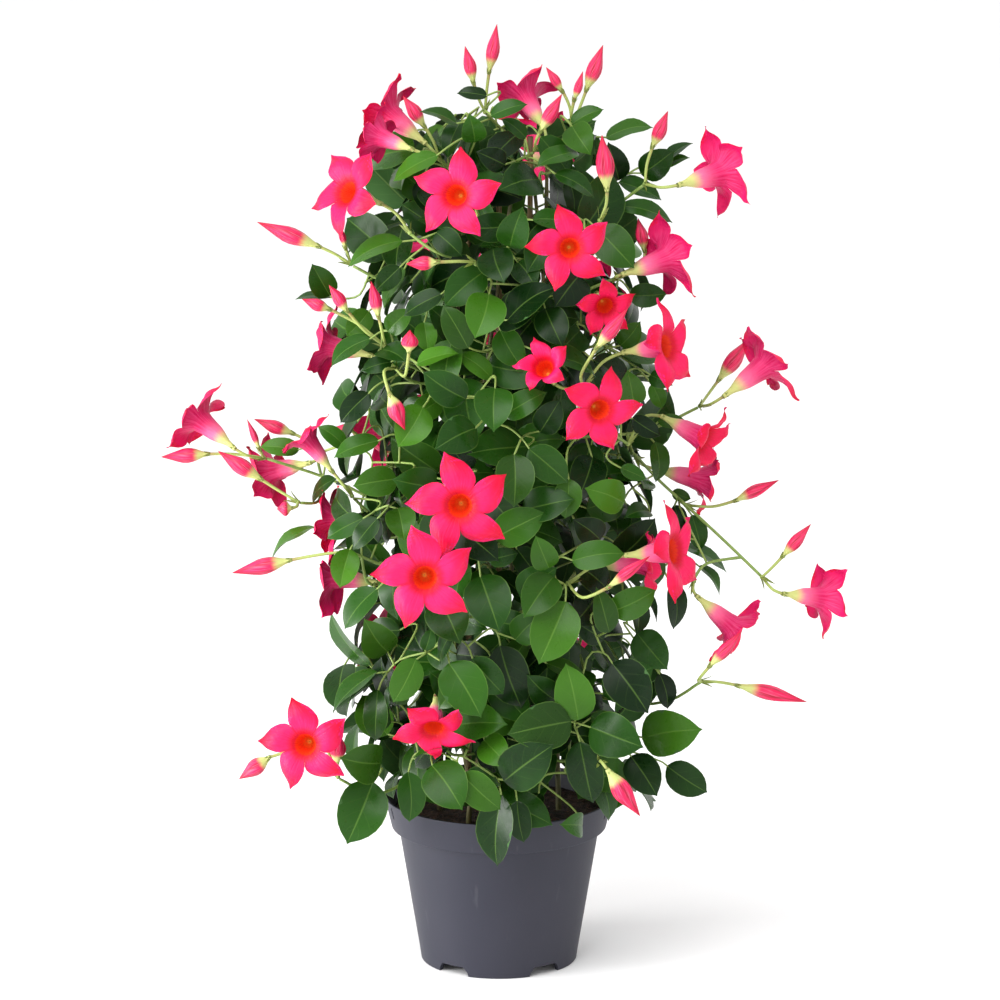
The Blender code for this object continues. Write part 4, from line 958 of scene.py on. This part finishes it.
def add_far_raceme(plant, azimuth, height, reach, size, count):
    """A raceme on the far side, with one flower and count buds."""
    turn = math.radians(azimuth)
    out = Vector((math.cos(turn), math.sin(turn), 0))
    side = Vector((-out.y, out.x, 0))
    facing = (out + Vector((0, 0, 0.22)) + side * 0.25 * math.sin(azimuth)).normalized()

    def start(shift):
        throat = out * (reach + shift) + Vector((0, 0, height))
        return throat - facing * (TRUMPET * size + 0.012) - Vector((0, 0, 0.012))

    def flowers(shift):
        return [(out * (reach + shift) + Vector((0, 0, height)), facing, azimuth * 7, size, 1.0)]

    def buds(shift):
        found = []
        for i in range(count):
            lean = side * (0.9 - 1.8 * i) + out * 0.5
            base = start(shift) + lean * 0.012 + Vector((0, 0, 0.008))
            found.append((base, base + (lean + Vector((0, 0, 0.7))).normalized() * 0.034, 0.0105))
        return found

    plant.add_raceme(start, flowers, buds)


# How a leaf is moved outward, rolled and shrunk until it is clear.
FRONT_TRIES = (
    (0, 0, 1.0), (0.005, 0, 1.0), (-0.005, 0, 1.0), (0, 16, 1.0), (0, -16, 1.0), (0.010, 0, 1.0),
    (-0.010, 0, 1.0), (0.008, 18, 0.94), (-0.008, -18, 0.94), (0.015, 0, 0.92), (-0.015, 0, 0.92),
    (-0.020, 20, 0.88), (0.020, -20, 0.88), (-0.026, 0, 0.85),
)
FAR_TRIES = ((0, 0, 1.0), (0.008, 15, 0.95), (-0.010, -15, 0.9), (-0.004, 30, 0.8))


def add_front_leaf(plant, entry):
    """Places a leaf that the photograph shows. One that looks short is leaning to the viewer, and
    one that looks narrow is rolled."""
    x0, y0, x1, y1, visible, layers = entry
    near = nearness(x0, y0, layers)
    base = seen(x0, y0, near)
    shown = (seen(x1, y1, near) - base).length
    length = min(max(visible * PIXEL / LEAF_SHAPE, shown), LONGEST_LEAF)
    lean = math.sqrt(max(0.0, length**2 - shown**2)) * 0.8
    settled = nearness(x1, y1, layers)
    tip = seen(x1, y1, near + max(lean, min(settled - near, 0.02)))
    length = (tip - base).length
    width = min(max(visible * PIXEL, 0.56 * length), 0.038)
    roll = math.acos(min(1.0, visible * PIXEL / width))
    way = (tip - base).normalized()
    flat = (TO_VIEWER - way * TO_VIEWER.dot(way)).normalized()
    side = way.cross(flat)
    faces = [flat * math.cos(roll) + side * math.sin(roll) * sign for sign in (1, -1)]
    up = max(faces, key=lambda face: face.z)
    return plant.place_leaf(base, tip, width, up, TO_VIEWER, FRONT_TRIES)


def add_far_sprig(plant, azimuth, height, draw):
    """Places three leaves at the end of a sprig on the canopy's side or back."""
    out = Vector((math.cos(azimuth), math.sin(azimuth), 0))
    side = Vector((-out.y, out.x, 0))
    node = out * (canopy_radius(height) * SPRIG_REACH) + Vector((0, 0, height))
    if plant.grow(node, (out + Vector((0, 0, 0.3))).normalized()) is None:
        return
    first = draw.uniform(0, math.pi)
    for i in range(3):
        turn = first + 2 * math.pi * i / 3 + draw.uniform(-0.3, 0.3)
        spread = side * math.cos(turn) + Vector((0, 0, math.sin(turn) * 0.9 - 0.15))
        way = (spread + out * draw.uniform(0.45, 0.75)).normalized()
        length = LEAF_LENGTH * draw.uniform(0.85, 1.15)
        base = node + way * 0.010
        up = (out * 0.9 + Vector((0, 0, 0.7)) - spread * 0.4).normalized()
        plant.place_leaf(base, base + way * length, length * LEAF_SHAPE, up, out, FAR_TRIES)


def grow_plant():
    """The whole plant: flowers first, then the leaves round them."""
    plant = Plant()
    for entry in RACEMES:
        start, flowers, buds = entry
        plant.add_raceme(
            lambda shift, start=start: seen(start[0], start[1], start[2] + shift),
            lambda shift, flowers=flowers: [flower_from(row, shift) for row in flowers],
            lambda shift, buds=buds: [bud_from(row, shift) for row in buds],
        )
    for entry in FAR_RACEMES:
        add_far_raceme(plant, *entry)
    for entry in LEAVES:
        if entry[5] == 0:
            add_front_leaf(plant, entry)
    draw = random.Random(11)
    for number in range(FAR_SPRIGS):
        azimuth = number * GOLDEN_TURN
        height = 0.135 + 0.50 * (number + 0.5) / FAR_SPRIGS
        if abs((azimuth + math.pi / 2 + math.pi) % (2 * math.pi) - math.pi) > FRONT_SECTOR:
            add_far_sprig(plant, azimuth, height, draw)
    return plant


plant = grow_plant()

# The canes: three bamboo rods with ringed joints, dry and straw-coloured, pushed into the peat.
CANE_SIDES = 14
CANE_STEPS = 60
CANE_JOINT_STEPS = 15

cane_finish, tree, shader = surface("bamboo", 0.55)
place = place_wire(tree, "Object")
grain = place.stretched(1.0, 1.0, 0.05).noise(900.0, 4.0)
stain = place.noise(14.0, 3.0)
straw = grain.step(0.3, 0.7).mix((0.200, 0.120, 0.048), (0.400, 0.280, 0.130))
lead(stain.step(0.55, 0.8).mix(straw, (0.160, 0.100, 0.050)), shader, "Base Color")
raise_surface(grain, shader, 0.3, 0.0003)
for number, top in enumerate(CANE_TOPS):
    foot = cane_foot(number)
    rows = [[foot] * CANE_SIDES]
    for i in range(CANE_STEPS + 1):
        centre = Vector((foot.x, foot.y, foot.z + (top - foot.z) * i / CANE_STEPS))
        swell = 0.98 if (i + 5 * number) % CANE_JOINT_STEPS else 1.12
        radius = CANE_RADIUS * (1.0 - 0.10 * i / CANE_STEPS) * swell
        rows.append(ring(centre, UP, RIGHT, radius, CANE_SIDES))
    rows.append([Vector((foot.x, foot.y, top))] * CANE_SIDES)
    sheaf = Sheaf()
    sheaf.grid(rows, wrap=True)
    cane = sheaf.made(f"cane_{number + 1}", cane_finish)
    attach(cane, "root")
    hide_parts(f"bamboo_cane_{number + 1}")

# The leaves behind those in front, and the many that fill the column all round. They stand on
# short stalks off the nearest twig, and each is set where it clears its neighbours.
FILL_LEAVES = 1150
FILL_TRIES = ((0, 0, 1.0), (-0.008, 25, 0.9), (0.006, -25, 0.85), (-0.014, 40, 0.8))

# How near a fill leaf may come, in the view, to the middle of a flower that stands behind it.
SHOWN = 0.024
SHOWN_RACEMES = len(RACEMES)


def hides(spot):
    """Whether a spot stands before a flower that the photograph shows."""
    for _, corollas, _, _ in plant.racemes[:SHOWN_RACEMES]:
        for throat, facing, _, size, _ in corollas:
            apart = spot - throat - facing * 0.008
            ahead = apart.dot(TO_VIEWER)
            if ahead > 0 and (apart - TO_VIEWER * ahead).length < SHOWN * size:
                return True
    return False


for entry in LEAVES:
    if entry[5] > 0:
        add_front_leaf(plant, entry)
near_leaves = len(plant.leaves)
draw = random.Random(5)
for number in range(FILL_LEAVES):
    azimuth = number * GOLDEN_TURN
    height = 0.125 + 0.49 * draw.random() ** 0.95
    out = Vector((math.cos(azimuth), math.sin(azimuth), 0))
    across = Vector((-out.y, out.x, 0))
    reach = canopy_radius(height) * (0.22 + 0.70 * draw.random() ** 0.7)
    turn = draw.uniform(0, 2 * math.pi)
    spread = across * math.cos(turn) + Vector((0, 0, math.sin(turn) * 0.8 - 0.3))
    way = (spread + out * draw.uniform(0.1, 0.6)).normalized()
    length = LEAF_LENGTH * draw.uniform(0.72, 1.10)
    base = out * reach + Vector((0, 0, height)) - way * length * 0.35
    up = (out * 0.9 + Vector((0, 0, 0.75)) - spread * 0.35).normalized()
    wide = length * draw.uniform(0.60, 0.74)
    if not hides(base + way * length * 0.5):
        plant.place_leaf(base, base + way * length, wide, up, out, FILL_TRIES)

# The leaves themselves: broad ovals with a short drawn-out tip, a fine pale midrib in a shallow
# fold, a thin pale margin, and waxy dark green faces over duller undersides. The young ones are
# brighter, and the fill leaves, most of them deep in the column, are painted darker as painted
# shade. Each is a blade with two faces, grown on a short stalk.
LEAF_OUTLINE = (
    (0.0, 0.06), (0.03, 0.33), (0.08, 0.59), (0.16, 0.82), (0.27, 0.955), (0.40, 1.0), (0.54, 0.97),
    (0.67, 0.86), (0.78, 0.68), (0.87, 0.44), (0.92, 0.25), (0.96, 0.09), (1.0, 0.0),
)
LEAF_HALVES = (-1.0, -0.72, -0.38, -0.10, 0.0, 0.10, 0.38, 0.72, 1.0)

leaf_finish, tree, shader = surface("leaf", 0.29, Specular_IOR_Level=0.16)
along, across = uv_wires(tree)
tone, under, youth_and_shade = mark_wires(tree, "mark")
side = (across - 0.5).size() * 2.0
place = place_wire(tree, "Object")
cloud = place.noise(38.0, 2.0)
mottle = place.noise(260.0, 3.0)
deep = (tone + (cloud - 0.5) * 0.5).step(0.05, 0.95).mix((0.0024, 0.014, 0.0018), (0.014, 0.062, 0.0042))
# The third mark lifts a leaf toward the bright young green. It is held lower on the fill leaves as painted
# shade.
green_with_youth_and_shade = youth_and_shade.mix(deep, (0.068, 0.208, 0.011))
vein = 1.0 - ((along * 9.0 - side * 3.0).fold(1.0)).step(0.0, 0.10)
vein = vein * (1.0 - side.step(0.5, 0.9))
rib = 1.0 - side.step(0.010, 0.060)
edge = side.step(0.950, 0.985)
light = (rib * 0.26).most(vein * 0.05).most(edge * 0.26)
face = light.mix(green_with_youth_and_shade, (0.170, 0.320, 0.055))
back = (rib * 0.5 + vein * 0.12).mix((0.040, 0.105, 0.026), (0.180, 0.290, 0.080))
lead(under.mix(face, back), shader, "Base Color")
lead(0.30 + under * 0.22 + (mottle - 0.5) * 0.16 + (cloud - 0.5) * 0.14, shader, "Roughness")
raise_surface((1.0 - rib) * 0.4 - vein * 0.12 + mottle * 0.16, shader, 0.35, 0.0006)


def add_fine_leaf(sheaf, base, tip, width, up, mark, draw, plain):
    """A leaf blade with both faces and a wavy edge, in fewer steps where it is plain."""
    span = (tip - base).length
    way = (tip - base) / span
    side = way.cross(up).normalized()
    lift = side.cross(way).normalized()
    fold = draw.uniform(0.08, 0.30)
    phase = draw.uniform(0, 6)
    waves = draw.uniform(0.008, 0.028)
    droop = draw.uniform(0.02, 0.12)
    bow = draw.uniform(-0.04, 0.04)
    outline = LEAF_OUTLINE[::2] if plain else LEAF_OUTLINE
    halves = LEAF_HALVES[::2] if plain else LEAF_HALVES
    for under in (0, 1):
        rows, maps = [], []
        for share, half in outline:
            arch = LEAF_ARCH * 4 * share * (1 - share) - droop * share**5
            centre = base + way * (span * share) + lift * (span * arch)
            centre += side * (span * bow * math.sin(math.pi * share))
            row = []
            for t in halves:
                rise = abs(t) ** 1.2 * width / 2 * half * fold
                turn = 7.5 * share + phase + (1.3 if t > 0 else 0)
                wave = waves * span * math.sin(turn) * t * t * half
                thick = 0.00030 * (1 - t**4) * (1 - 2 * under)
                row.append(centre + side * (t * width / 2 * half) + lift * (rise + wave + thick))
            rows.append(row)
            maps.append([(share, (t + 1) / 2) for t in halves])
        sheaf.grid(rows, mark=(mark[0], under, mark[1]), flip=bool(under), maps=maps)


# The stems: six twining vines with their twigs and leaf stalks, pale green when young and brown
# where they are old and thick. They are round, with slightly swollen joints and fine pores. The
# flowers' stalks are of the same kind, flushed with red along their middles.
stem_finish, tree, shader = surface("stem", 0.50)
along, across = uv_wires(tree)
tone, old, red = mark_wires(tree, "mark")
grain = place_wire(tree, "Object").stretched(1.0, 1.0, 0.25).noise(420.0, 3.0)
green = (tone + (grain - 0.5) * 0.6).step(0.1, 0.9).mix((0.130, 0.230, 0.040), (0.330, 0.410, 0.100))
brown = grain.step(0.3, 0.7).mix((0.060, 0.034, 0.020), (0.140, 0.080, 0.040))
rosy = grain.step(0.3, 0.7).mix((0.260, 0.060, 0.045), (0.340, 0.160, 0.070))
flush = red * along.step(0.45, 0.75) * (1.0 - along.step(0.88, 0.98))
lead(flush.mix(old.mix(green, brown), rosy), shader, "Base Color")
lead(0.44 + grain * 0.2, shader, "Roughness")
raise_surface(grain, shader, 0.3, 0.0003)


def smooth_path(path, steps):
    """A path with steps points between each two of its own, bent smoothly through them."""
    found = []
    last = len(path) - 1
    for i in range(last):
        a, b = path[max(0, i - 1)], path[i]
        c, d = path[i + 1], path[min(last, i + 2)]
        for k in range(steps):
            t = k / steps
            bend = (2 * a - 5 * b + 4 * c - d) * t**2 + (3 * b - a - 3 * c + d) * t**3
            found.append(0.5 * (2 * b + (c - a) * t + bend))
    return [*found, path[-1]]


def add_fine_stem(sheaf, path, thick, thin, mark, sides=7, swell=0.0):
    """A round stem with closed ends."""
    rows = []
    side = None
    last = len(path) - 1
    for i, point in enumerate(path):
        along = (path[min(i + 1, last)] - path[max(i - 1, 0)]).normalized()
        side = along.orthogonal() if side is None else side - along * side.dot(along)
        side.normalize()
        radius = thick + (thin - thick) * i / last
        radius *= 1 + swell * max(0.0, math.sin(i * 1.7)) ** 6
        rows.append(ring(point, along, side, radius, sides))
    rows = [[path[0]] * sides, *rows, [path[-1]] * sides]
    sheaf.grid(rows, wrap=True, mark=mark)


draw = random.Random(3)
# Each leaf gets a random tone and a share of the bright young tint. The fill leaves, mostly deep in the
# column, get less of the tint, as painted shade.
looks = []
for number in range(len(plant.leaves)):
    youth_and_shade_level = draw.gauss(0.10, 0.28) if number < near_leaves else draw.gauss(-0.12, 0.22)
    looks.append((draw.random(), min(0.9, max(0.0, youth_and_shade_level))))
for vine in range(VINE_COUNT):
    foliage, wood = Sheaf(), Sheaf()
    for number, (own, stalk, base, tip, width, up) in enumerate(plant.leaves):
        if own == vine:
            deep_in = number >= near_leaves and math.hypot(base.x, base.y) < 0.060
            add_fine_leaf(foliage, base, tip, width, up, looks[number], draw, deep_in)
            path = smooth_path([*stalk, base + (tip - base) * 0.03], 3)
            add_fine_stem(wood, path, STALK_RADIUS * 1.05, STALK_RADIUS * 0.85, (0.45, 0, 0), 6)
    for number, (own, path, thick, thin) in enumerate(plant.stems):
        if own == vine:
            main = number < VINE_COUNT
            mark = (0.35, 0.75 if main else 0.0, 0.0)
            add_fine_stem(wood, smooth_path(path, 5), thick, thin, mark, 9, 0.25 if main else 0.1)
    leaves = foliage.made(f"leaves_{vine + 1}", leaf_finish)
    stems = wood.made(f"stems_{vine + 1}", stem_finish)
    for piece in (leaves, stems):
        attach(piece, "root")
        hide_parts(f"leafy_vine_{vine + 1}")


# The flowers: soft hot pink trumpets that flare into five petals, their tips drawn out to one side
# like a pinwheel, with a red ring round an orange throat and a yellow-green foot. Each grows on
# from the end of its stalk.

# Rows across a petal: share of its length, radius in millimetres, and the angles of its two edges.
PETAL_ROWS = (
    (0.00, 9.6, -36, 36), (0.10, 13.0, -36, 36), (0.22, 17.4, -36, 36), (0.34, 20.8, -33.5, 35.5),
    (0.46, 23.6, -28.5, 33.5), (0.58, 26.3, -21.5, 31), (0.69, 29.0, -13, 28.5), (0.79, 31.6, -5, 26),
    (0.87, 33.6, 3, 23.5), (0.92, 35.4, 8.5, 21.0), (0.96, 37.2, 12.3, 18.8), (1.00, 40.2, 15.7, 16.5),
)
PETAL_HALVES = (-1.0, -0.84, -0.6, -0.3, 0.0, 0.3, 0.6, 0.84, 1.0)

# The sleeve's two faces: millimetres in front of the mouth, and radius.
TUBE_OUTSIDE = (
    (-38, 1.9), (-34, 2.1), (-30, 2.6), (-26, 3.9), (-22, 5.4), (-17, 6.8), (-11, 7.6), (-6, 8.3),
    (-2.5, 9.2),
)
TUBE_INSIDE = ((-15, 0.3), (-14, 2.2), (-11.5, 4.4), (-8, 6.0), (-4.5, 7.2), (-2, 8.3))

petal_finish, tree, shader = surface("petal", 0.60, Specular_IOR_Level=0.20)
along, across = uv_wires(tree)
outside, shade, _ = mark_wires(tree, "mark")
streak = place_wire(tree, "UV").stretched(2.0, 60.0, 1.0).noise(1.0, 3.0)
fine = place_wire(tree, "Object").noise(300.0, 3.0)
uneven = (streak - 0.5) * 0.34 + (fine - 0.5) * 0.12
reach = along + uneven * 0.20
cloud = place_wire(tree, "Object").noise(70.0, 2.0)
petal_tone = (shade * 0.7 + (cloud - 0.5) * 0.9).step(0.0, 1.0)
rosy = petal_tone.mix((0.840, 0.010, 0.108), (0.720, 0.002, 0.056))
pink = (reach + uneven * 0.9 + shade * 0.12).step(0.55, 1.10).mix(rosy, (0.640, 0.001, 0.030))
# Painted shade: the pink darkens along the creases where the petals meet, down in the trumpet.
crease_painted_shade = 1.0 - ((across * 5.0).fold(0.5)).step(0.0, 0.10)
pink = (crease_painted_shade * (1.0 - along.step(0.42, 0.62)) * 0.6).mix(pink, (0.620, 0.002, 0.030))
ringed = reach.step(0.31, 0.44).mix((0.560, 0.001, 0.020), pink)
orange = reach.step(0.245, 0.300).mix((0.740, 0.034, 0.006), ringed)
orange = reach.step(0.03, 0.10).mix((0.780, 0.100, 0.010), orange)
throat = along.step(0.002, 0.022).mix((0.950, 0.480, 0.080), orange)
sleeve = (along + uneven * 0.1).step(0.085, 0.165).mix((0.560, 0.580, 0.200), (0.840, 0.150, 0.290))
blush = (streak.step(0.35, 0.65) * 0.5).mix((0.560, 0.004, 0.084), (0.780, 0.080, 0.260))
sleeve = (along + uneven * 0.2).step(0.12, 0.27).mix(sleeve, blush)
sleeve = along.step(0.42, 0.72).mix(sleeve, (0.680, 0.010, 0.120))
lead(outside.mix(throat, sleeve), shader, "Base Color")
lead(0.52 + (fine - 0.5) * 0.2, shader, "Roughness")
raise_surface(streak * 0.8 + fine * 0.25 + cloud * 1.2, shader, 0.6, 0.0014)


def add_fine_flower(sheaf, throat, facing, roll, size, spread, draw):
    """A trumpet with five petals, each with both faces."""
    across, over = flower_axes(facing, roll)
    opened = 0.48 + 0.52 * spread
    phase = draw.uniform(0, 6)
    wilt = max(0.0, 0.45 - spread) * 14
    shade = draw.random()

    def at(x, y, z):
        return throat + (across * x + over * y + facing * z) * (size / 1000)

    for k in range(PETALS):
        middle = 2 * math.pi * k / PETALS - PETAL_LEAN
        bend = draw.uniform(-1.5, 3.0)
        ripple = draw.uniform(0.7, 1.7)
        curl = draw.uniform(0.9, 2.2)
        for outside, tube in ((0, TUBE_INSIDE), (1, TUBE_OUTSIDE)):
            rows, maps = [], []
            for z, radius in tube:
                turns = [middle + t * NOTCH_TURN for t in PETAL_HALVES]
                rows.append([at(radius * math.cos(a), radius * math.sin(a), z) for a in turns])
                reach = 0.30 * (z - tube[0][0]) / -tube[0][0]
                maps.append([(reach, (k + 0.5 + t / 2) / PETALS) for t in PETAL_HALVES])
            for share, radius, trail, lead in PETAL_ROWS:
                row = []
                free = max(0.0, share - 0.2) / 0.8
                radius = 9.6 + (radius - 9.6) * opened
                for t in PETAL_HALVES:
                    turn = math.radians(trail + (lead - trail) * (1 + t) / 2)
                    turn *= 1 - 0.35 * (1 - opened) * free
                    rise = 2.6 * math.sin(math.pi * min(1.0, share * 1.05))
                    rise -= (2.0 + bend) * share**2.4 + 13.0 * (1 - spread) * share**3
                    rise += (radius - 9.6) * (1 - spread) * FLARE
                    rise += (1.8 * t - 1.6 * t * t) * math.sin(math.pi * free) * curl
                    rise += ripple * math.sin(share * 9 + t * 2.0 + phase + k) * t * t * free
                    rise += 0.9 * (1 - abs(t)) ** 2 * math.sin(math.pi * share)
                    rise += 0.5 * math.cos(t * 9.0 + k) * free * (1 - free) * 4 * (1 - t * t)
                    rise += wilt * math.sin(share * 7 + k * 2.2 + t * 2.5) * share * 0.5
                    rise += (0.5 - outside) * 0.4 * (1 - t * t) * (1 - share)
                    a = middle + turn
                    row.append(at(radius * math.cos(a), radius * math.sin(a), rise))
                rows.append(row)
                maps.append([(0.30 + 0.70 * share, (k + 0.5 + t / 2) / PETALS) for t in PETAL_HALVES])
            sheaf.grid(rows, mark=(outside, shade, 0), flip=bool(outside), maps=maps)


# The buds: furled spindles with five soft ridges that twist to a point, pink with pale streaks
# over a yellow-green foot. The stalks of a raceme meet at a small swollen joint off the vine, with
# a few narrow bracts, and five small pointed sepals hold each flower's foot.
bud_finish, tree, shader = surface("bud", 0.48, Specular_IOR_Level=0.35)
along, across = uv_wires(tree)
spiral = (along * 0.8 + across * 5.0).fold(0.5) * 2.0
fine = place_wire(tree, "Object").noise(260.0, 3.0)
streak = place_wire(tree, "UV").stretched(2.5, 40.0, 1.0).noise(1.0, 2.0)
rose = (spiral + (fine - 0.5) * 0.4).step(0.0, 0.55).mix((0.360, 0.002, 0.026), (0.680, 0.006, 0.078))
rose = (streak.step(0.46, 0.66) * 0.55 * (1.0 - along.step(0.55, 0.90))).mix(rose, (0.820, 0.150, 0.270))
tipped = along.step(0.70, 1.0).mix(rose, (0.480, 0.002, 0.030))
foot = (along + (streak - 0.5) * 0.16).step(0.20, 0.34).mix((0.520, 0.570, 0.190), tipped)
lead(foot, shader, "Base Color")
lead(0.42 + fine * 0.14, shader, "Roughness")
raise_surface(spiral + fine * 0.2, shader, 0.5, 0.0007)

BUD_PROFILE = (
    (0.0, 0.24), (0.06, 0.30), (0.13, 0.42), (0.20, 0.60), (0.28, 0.80), (0.36, 0.93), (0.45, 1.0),
    (0.55, 0.94), (0.66, 0.74), (0.77, 0.50), (0.87, 0.29), (0.95, 0.13), (1.0, 0.02),
)
BUD_SIDES = 20


def add_fine_bud(sheaf, base, tip, girth):
    """A furled bud, its rolled petals in shallow ridges."""
    way = (tip - base).normalized()
    side = way.orthogonal().normalized()
    other = way.cross(side).normalized()
    rows, maps = [], []
    for share, wide in BUD_PROFILE:
        row = []
        for j in range(BUD_SIDES + 1):
            turn = 2 * math.pi * j / BUD_SIDES
            ridge = 1 + 0.06 * math.cos(5 * turn) * min(1.0, share * 4)
            spoke = side * math.cos(turn + share) + other * math.sin(turn + share)
            row.append(base + (tip - base) * share + spoke * (girth / 2 * wide * ridge))
        rows.append(row)
        maps.append([(share, j / BUD_SIDES) for j in range(BUD_SIDES + 1)])
    sheaf.grid(rows, maps=maps)


def add_bracts(sheaf, foot, way, count, length, wide, splay):
    """Small pointed leaves round a stalk, each with both faces."""
    side = way.orthogonal().normalized()
    other = way.cross(side)
    for k in range(count):
        turn = 2 * math.pi * k / count + length * 900
        spoke = side * math.cos(turn) + other * math.sin(turn)
        cross = spoke.cross(way)
        for flip in (False, True):
            rows = []
            for share, half in ((0, 0.7), (0.3, 1.0), (0.65, 0.7), (1.0, 0.04)):
                centre = foot + way * (length * share) + spoke * (0.0012 + splay * length * share**1.5)
                rows.append([centre + cross * (wide * half * t) for t in (-1, 0, 1)])
            sheaf.grid(rows, mark=(0.8, 0, 0), flip=flip)


GROUPS = 6
KNUCKLE_SHAPE = ((-1, 0.05), (-0.6, 0.8), (0, 1.0), (0.6, 0.8), (1, 0.05))
draw = random.Random(8)
for group in range(GROUPS):
    petals, buds, stalks = Sheaf(), Sheaf(), Sheaf()
    nodes = []
    for number, (joint, corollas, furled, paths) in enumerate(plant.racemes):
        if number % GROUPS != group:
            continue
        nodes.append(f"raceme_{number + 1:02d}")
        for flower in corollas:
            add_fine_flower(petals, *flower, draw)
        for bud in furled:
            add_fine_bud(buds, *bud)
        ends = [throat - facing * TRUMPET * size for throat, facing, _, size, _ in corollas]
        ends += [base for base, _, _ in furled]
        ways = [facing for _, facing, _, _, _ in corollas]
        ways += [(tip - base).normalized() for base, tip, _ in furled]
        for path, end, way in zip(paths, ends, ways):
            path = smooth_path([*path, path[-1] + way * 0.002], 5)
            add_fine_stem(stalks, path, 0.0010, 0.0013, (0.8, 0, 0.5 + 0.5 * (number % 2)))
            add_bracts(stalks, end - way * 0.001, way, 5, 0.0048, 0.0010, 0.3)
        add_bracts(stalks, joint, (paths[0][1] - paths[0][0]).normalized(), 3, 0.0095, 0.0013, 0.45)
        belts = []
        for z, r in KNUCKLE_SHAPE:
            belts.append(ring(joint + UP * (KNUCKLE_RADIUS * z), UP, RIGHT, KNUCKLE_RADIUS * r, 8))
        stalks.grid(belts, wrap=True, mark=(0.5, 0, 0))
    pieces = [petals.made(f"petals_{group + 1}", petal_finish)]
    pieces.append(stalks.made(f"stalks_{group + 1}", stem_finish))
    if buds.points:
        pieces.append(buds.made(f"buds_{group + 1}", bud_finish))
    for piece in pieces:
        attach(piece, "root")
        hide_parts(*nodes)

# The floor and the light: a plain white ground, a large soft light above on the left, a small one
# low on the left that lights the pot's side, and a bright surround, as in a studio.
FLOOR_HALF = 40
SURROUND = 1.04

floor_finish, tree, shader = surface("ground", 0.85)
shader.inputs["Base Color"].default_value = (0.96, 0.96, 0.96, 1)
sheaf = Sheaf()
sheaf.grid([[Vector((x * FLOOR_HALF, y * FLOOR_HALF, 0)) for x in (-1, 1)] for y in (-1, 1)])
floor = sheaf.made("ground", floor_finish)

world = bpy.data.worlds.new("surround")
world.use_nodes = True
backdrop = world.node_tree.nodes["Background"]
backdrop.inputs["Color"].default_value = (1, 1, 1, 1)
backdrop.inputs["Strength"].default_value = SURROUND
bpy.context.scene.world = world


def add_light(name, place, target, size, power):
    """A square soft light that faces a target."""
    lamp = bpy.data.lights.new(name, "AREA")
    lamp.size = size
    lamp.energy = power
    thing = bpy.data.objects.new(name, lamp)
    thing.location = place
    thing.rotation_euler = (Vector(target) - Vector(place)).to_track_quat("-Z", "Y").to_euler()
    bpy.context.scene.collection.objects.link(thing)


add_light("key", (-1.1, -1.8, 2.8), (0, 0, 0.35), 2.4, 88)
add_light("side", (-1.6, -0.5, 0.30), (0, 0, 0.12), 0.7, 34)
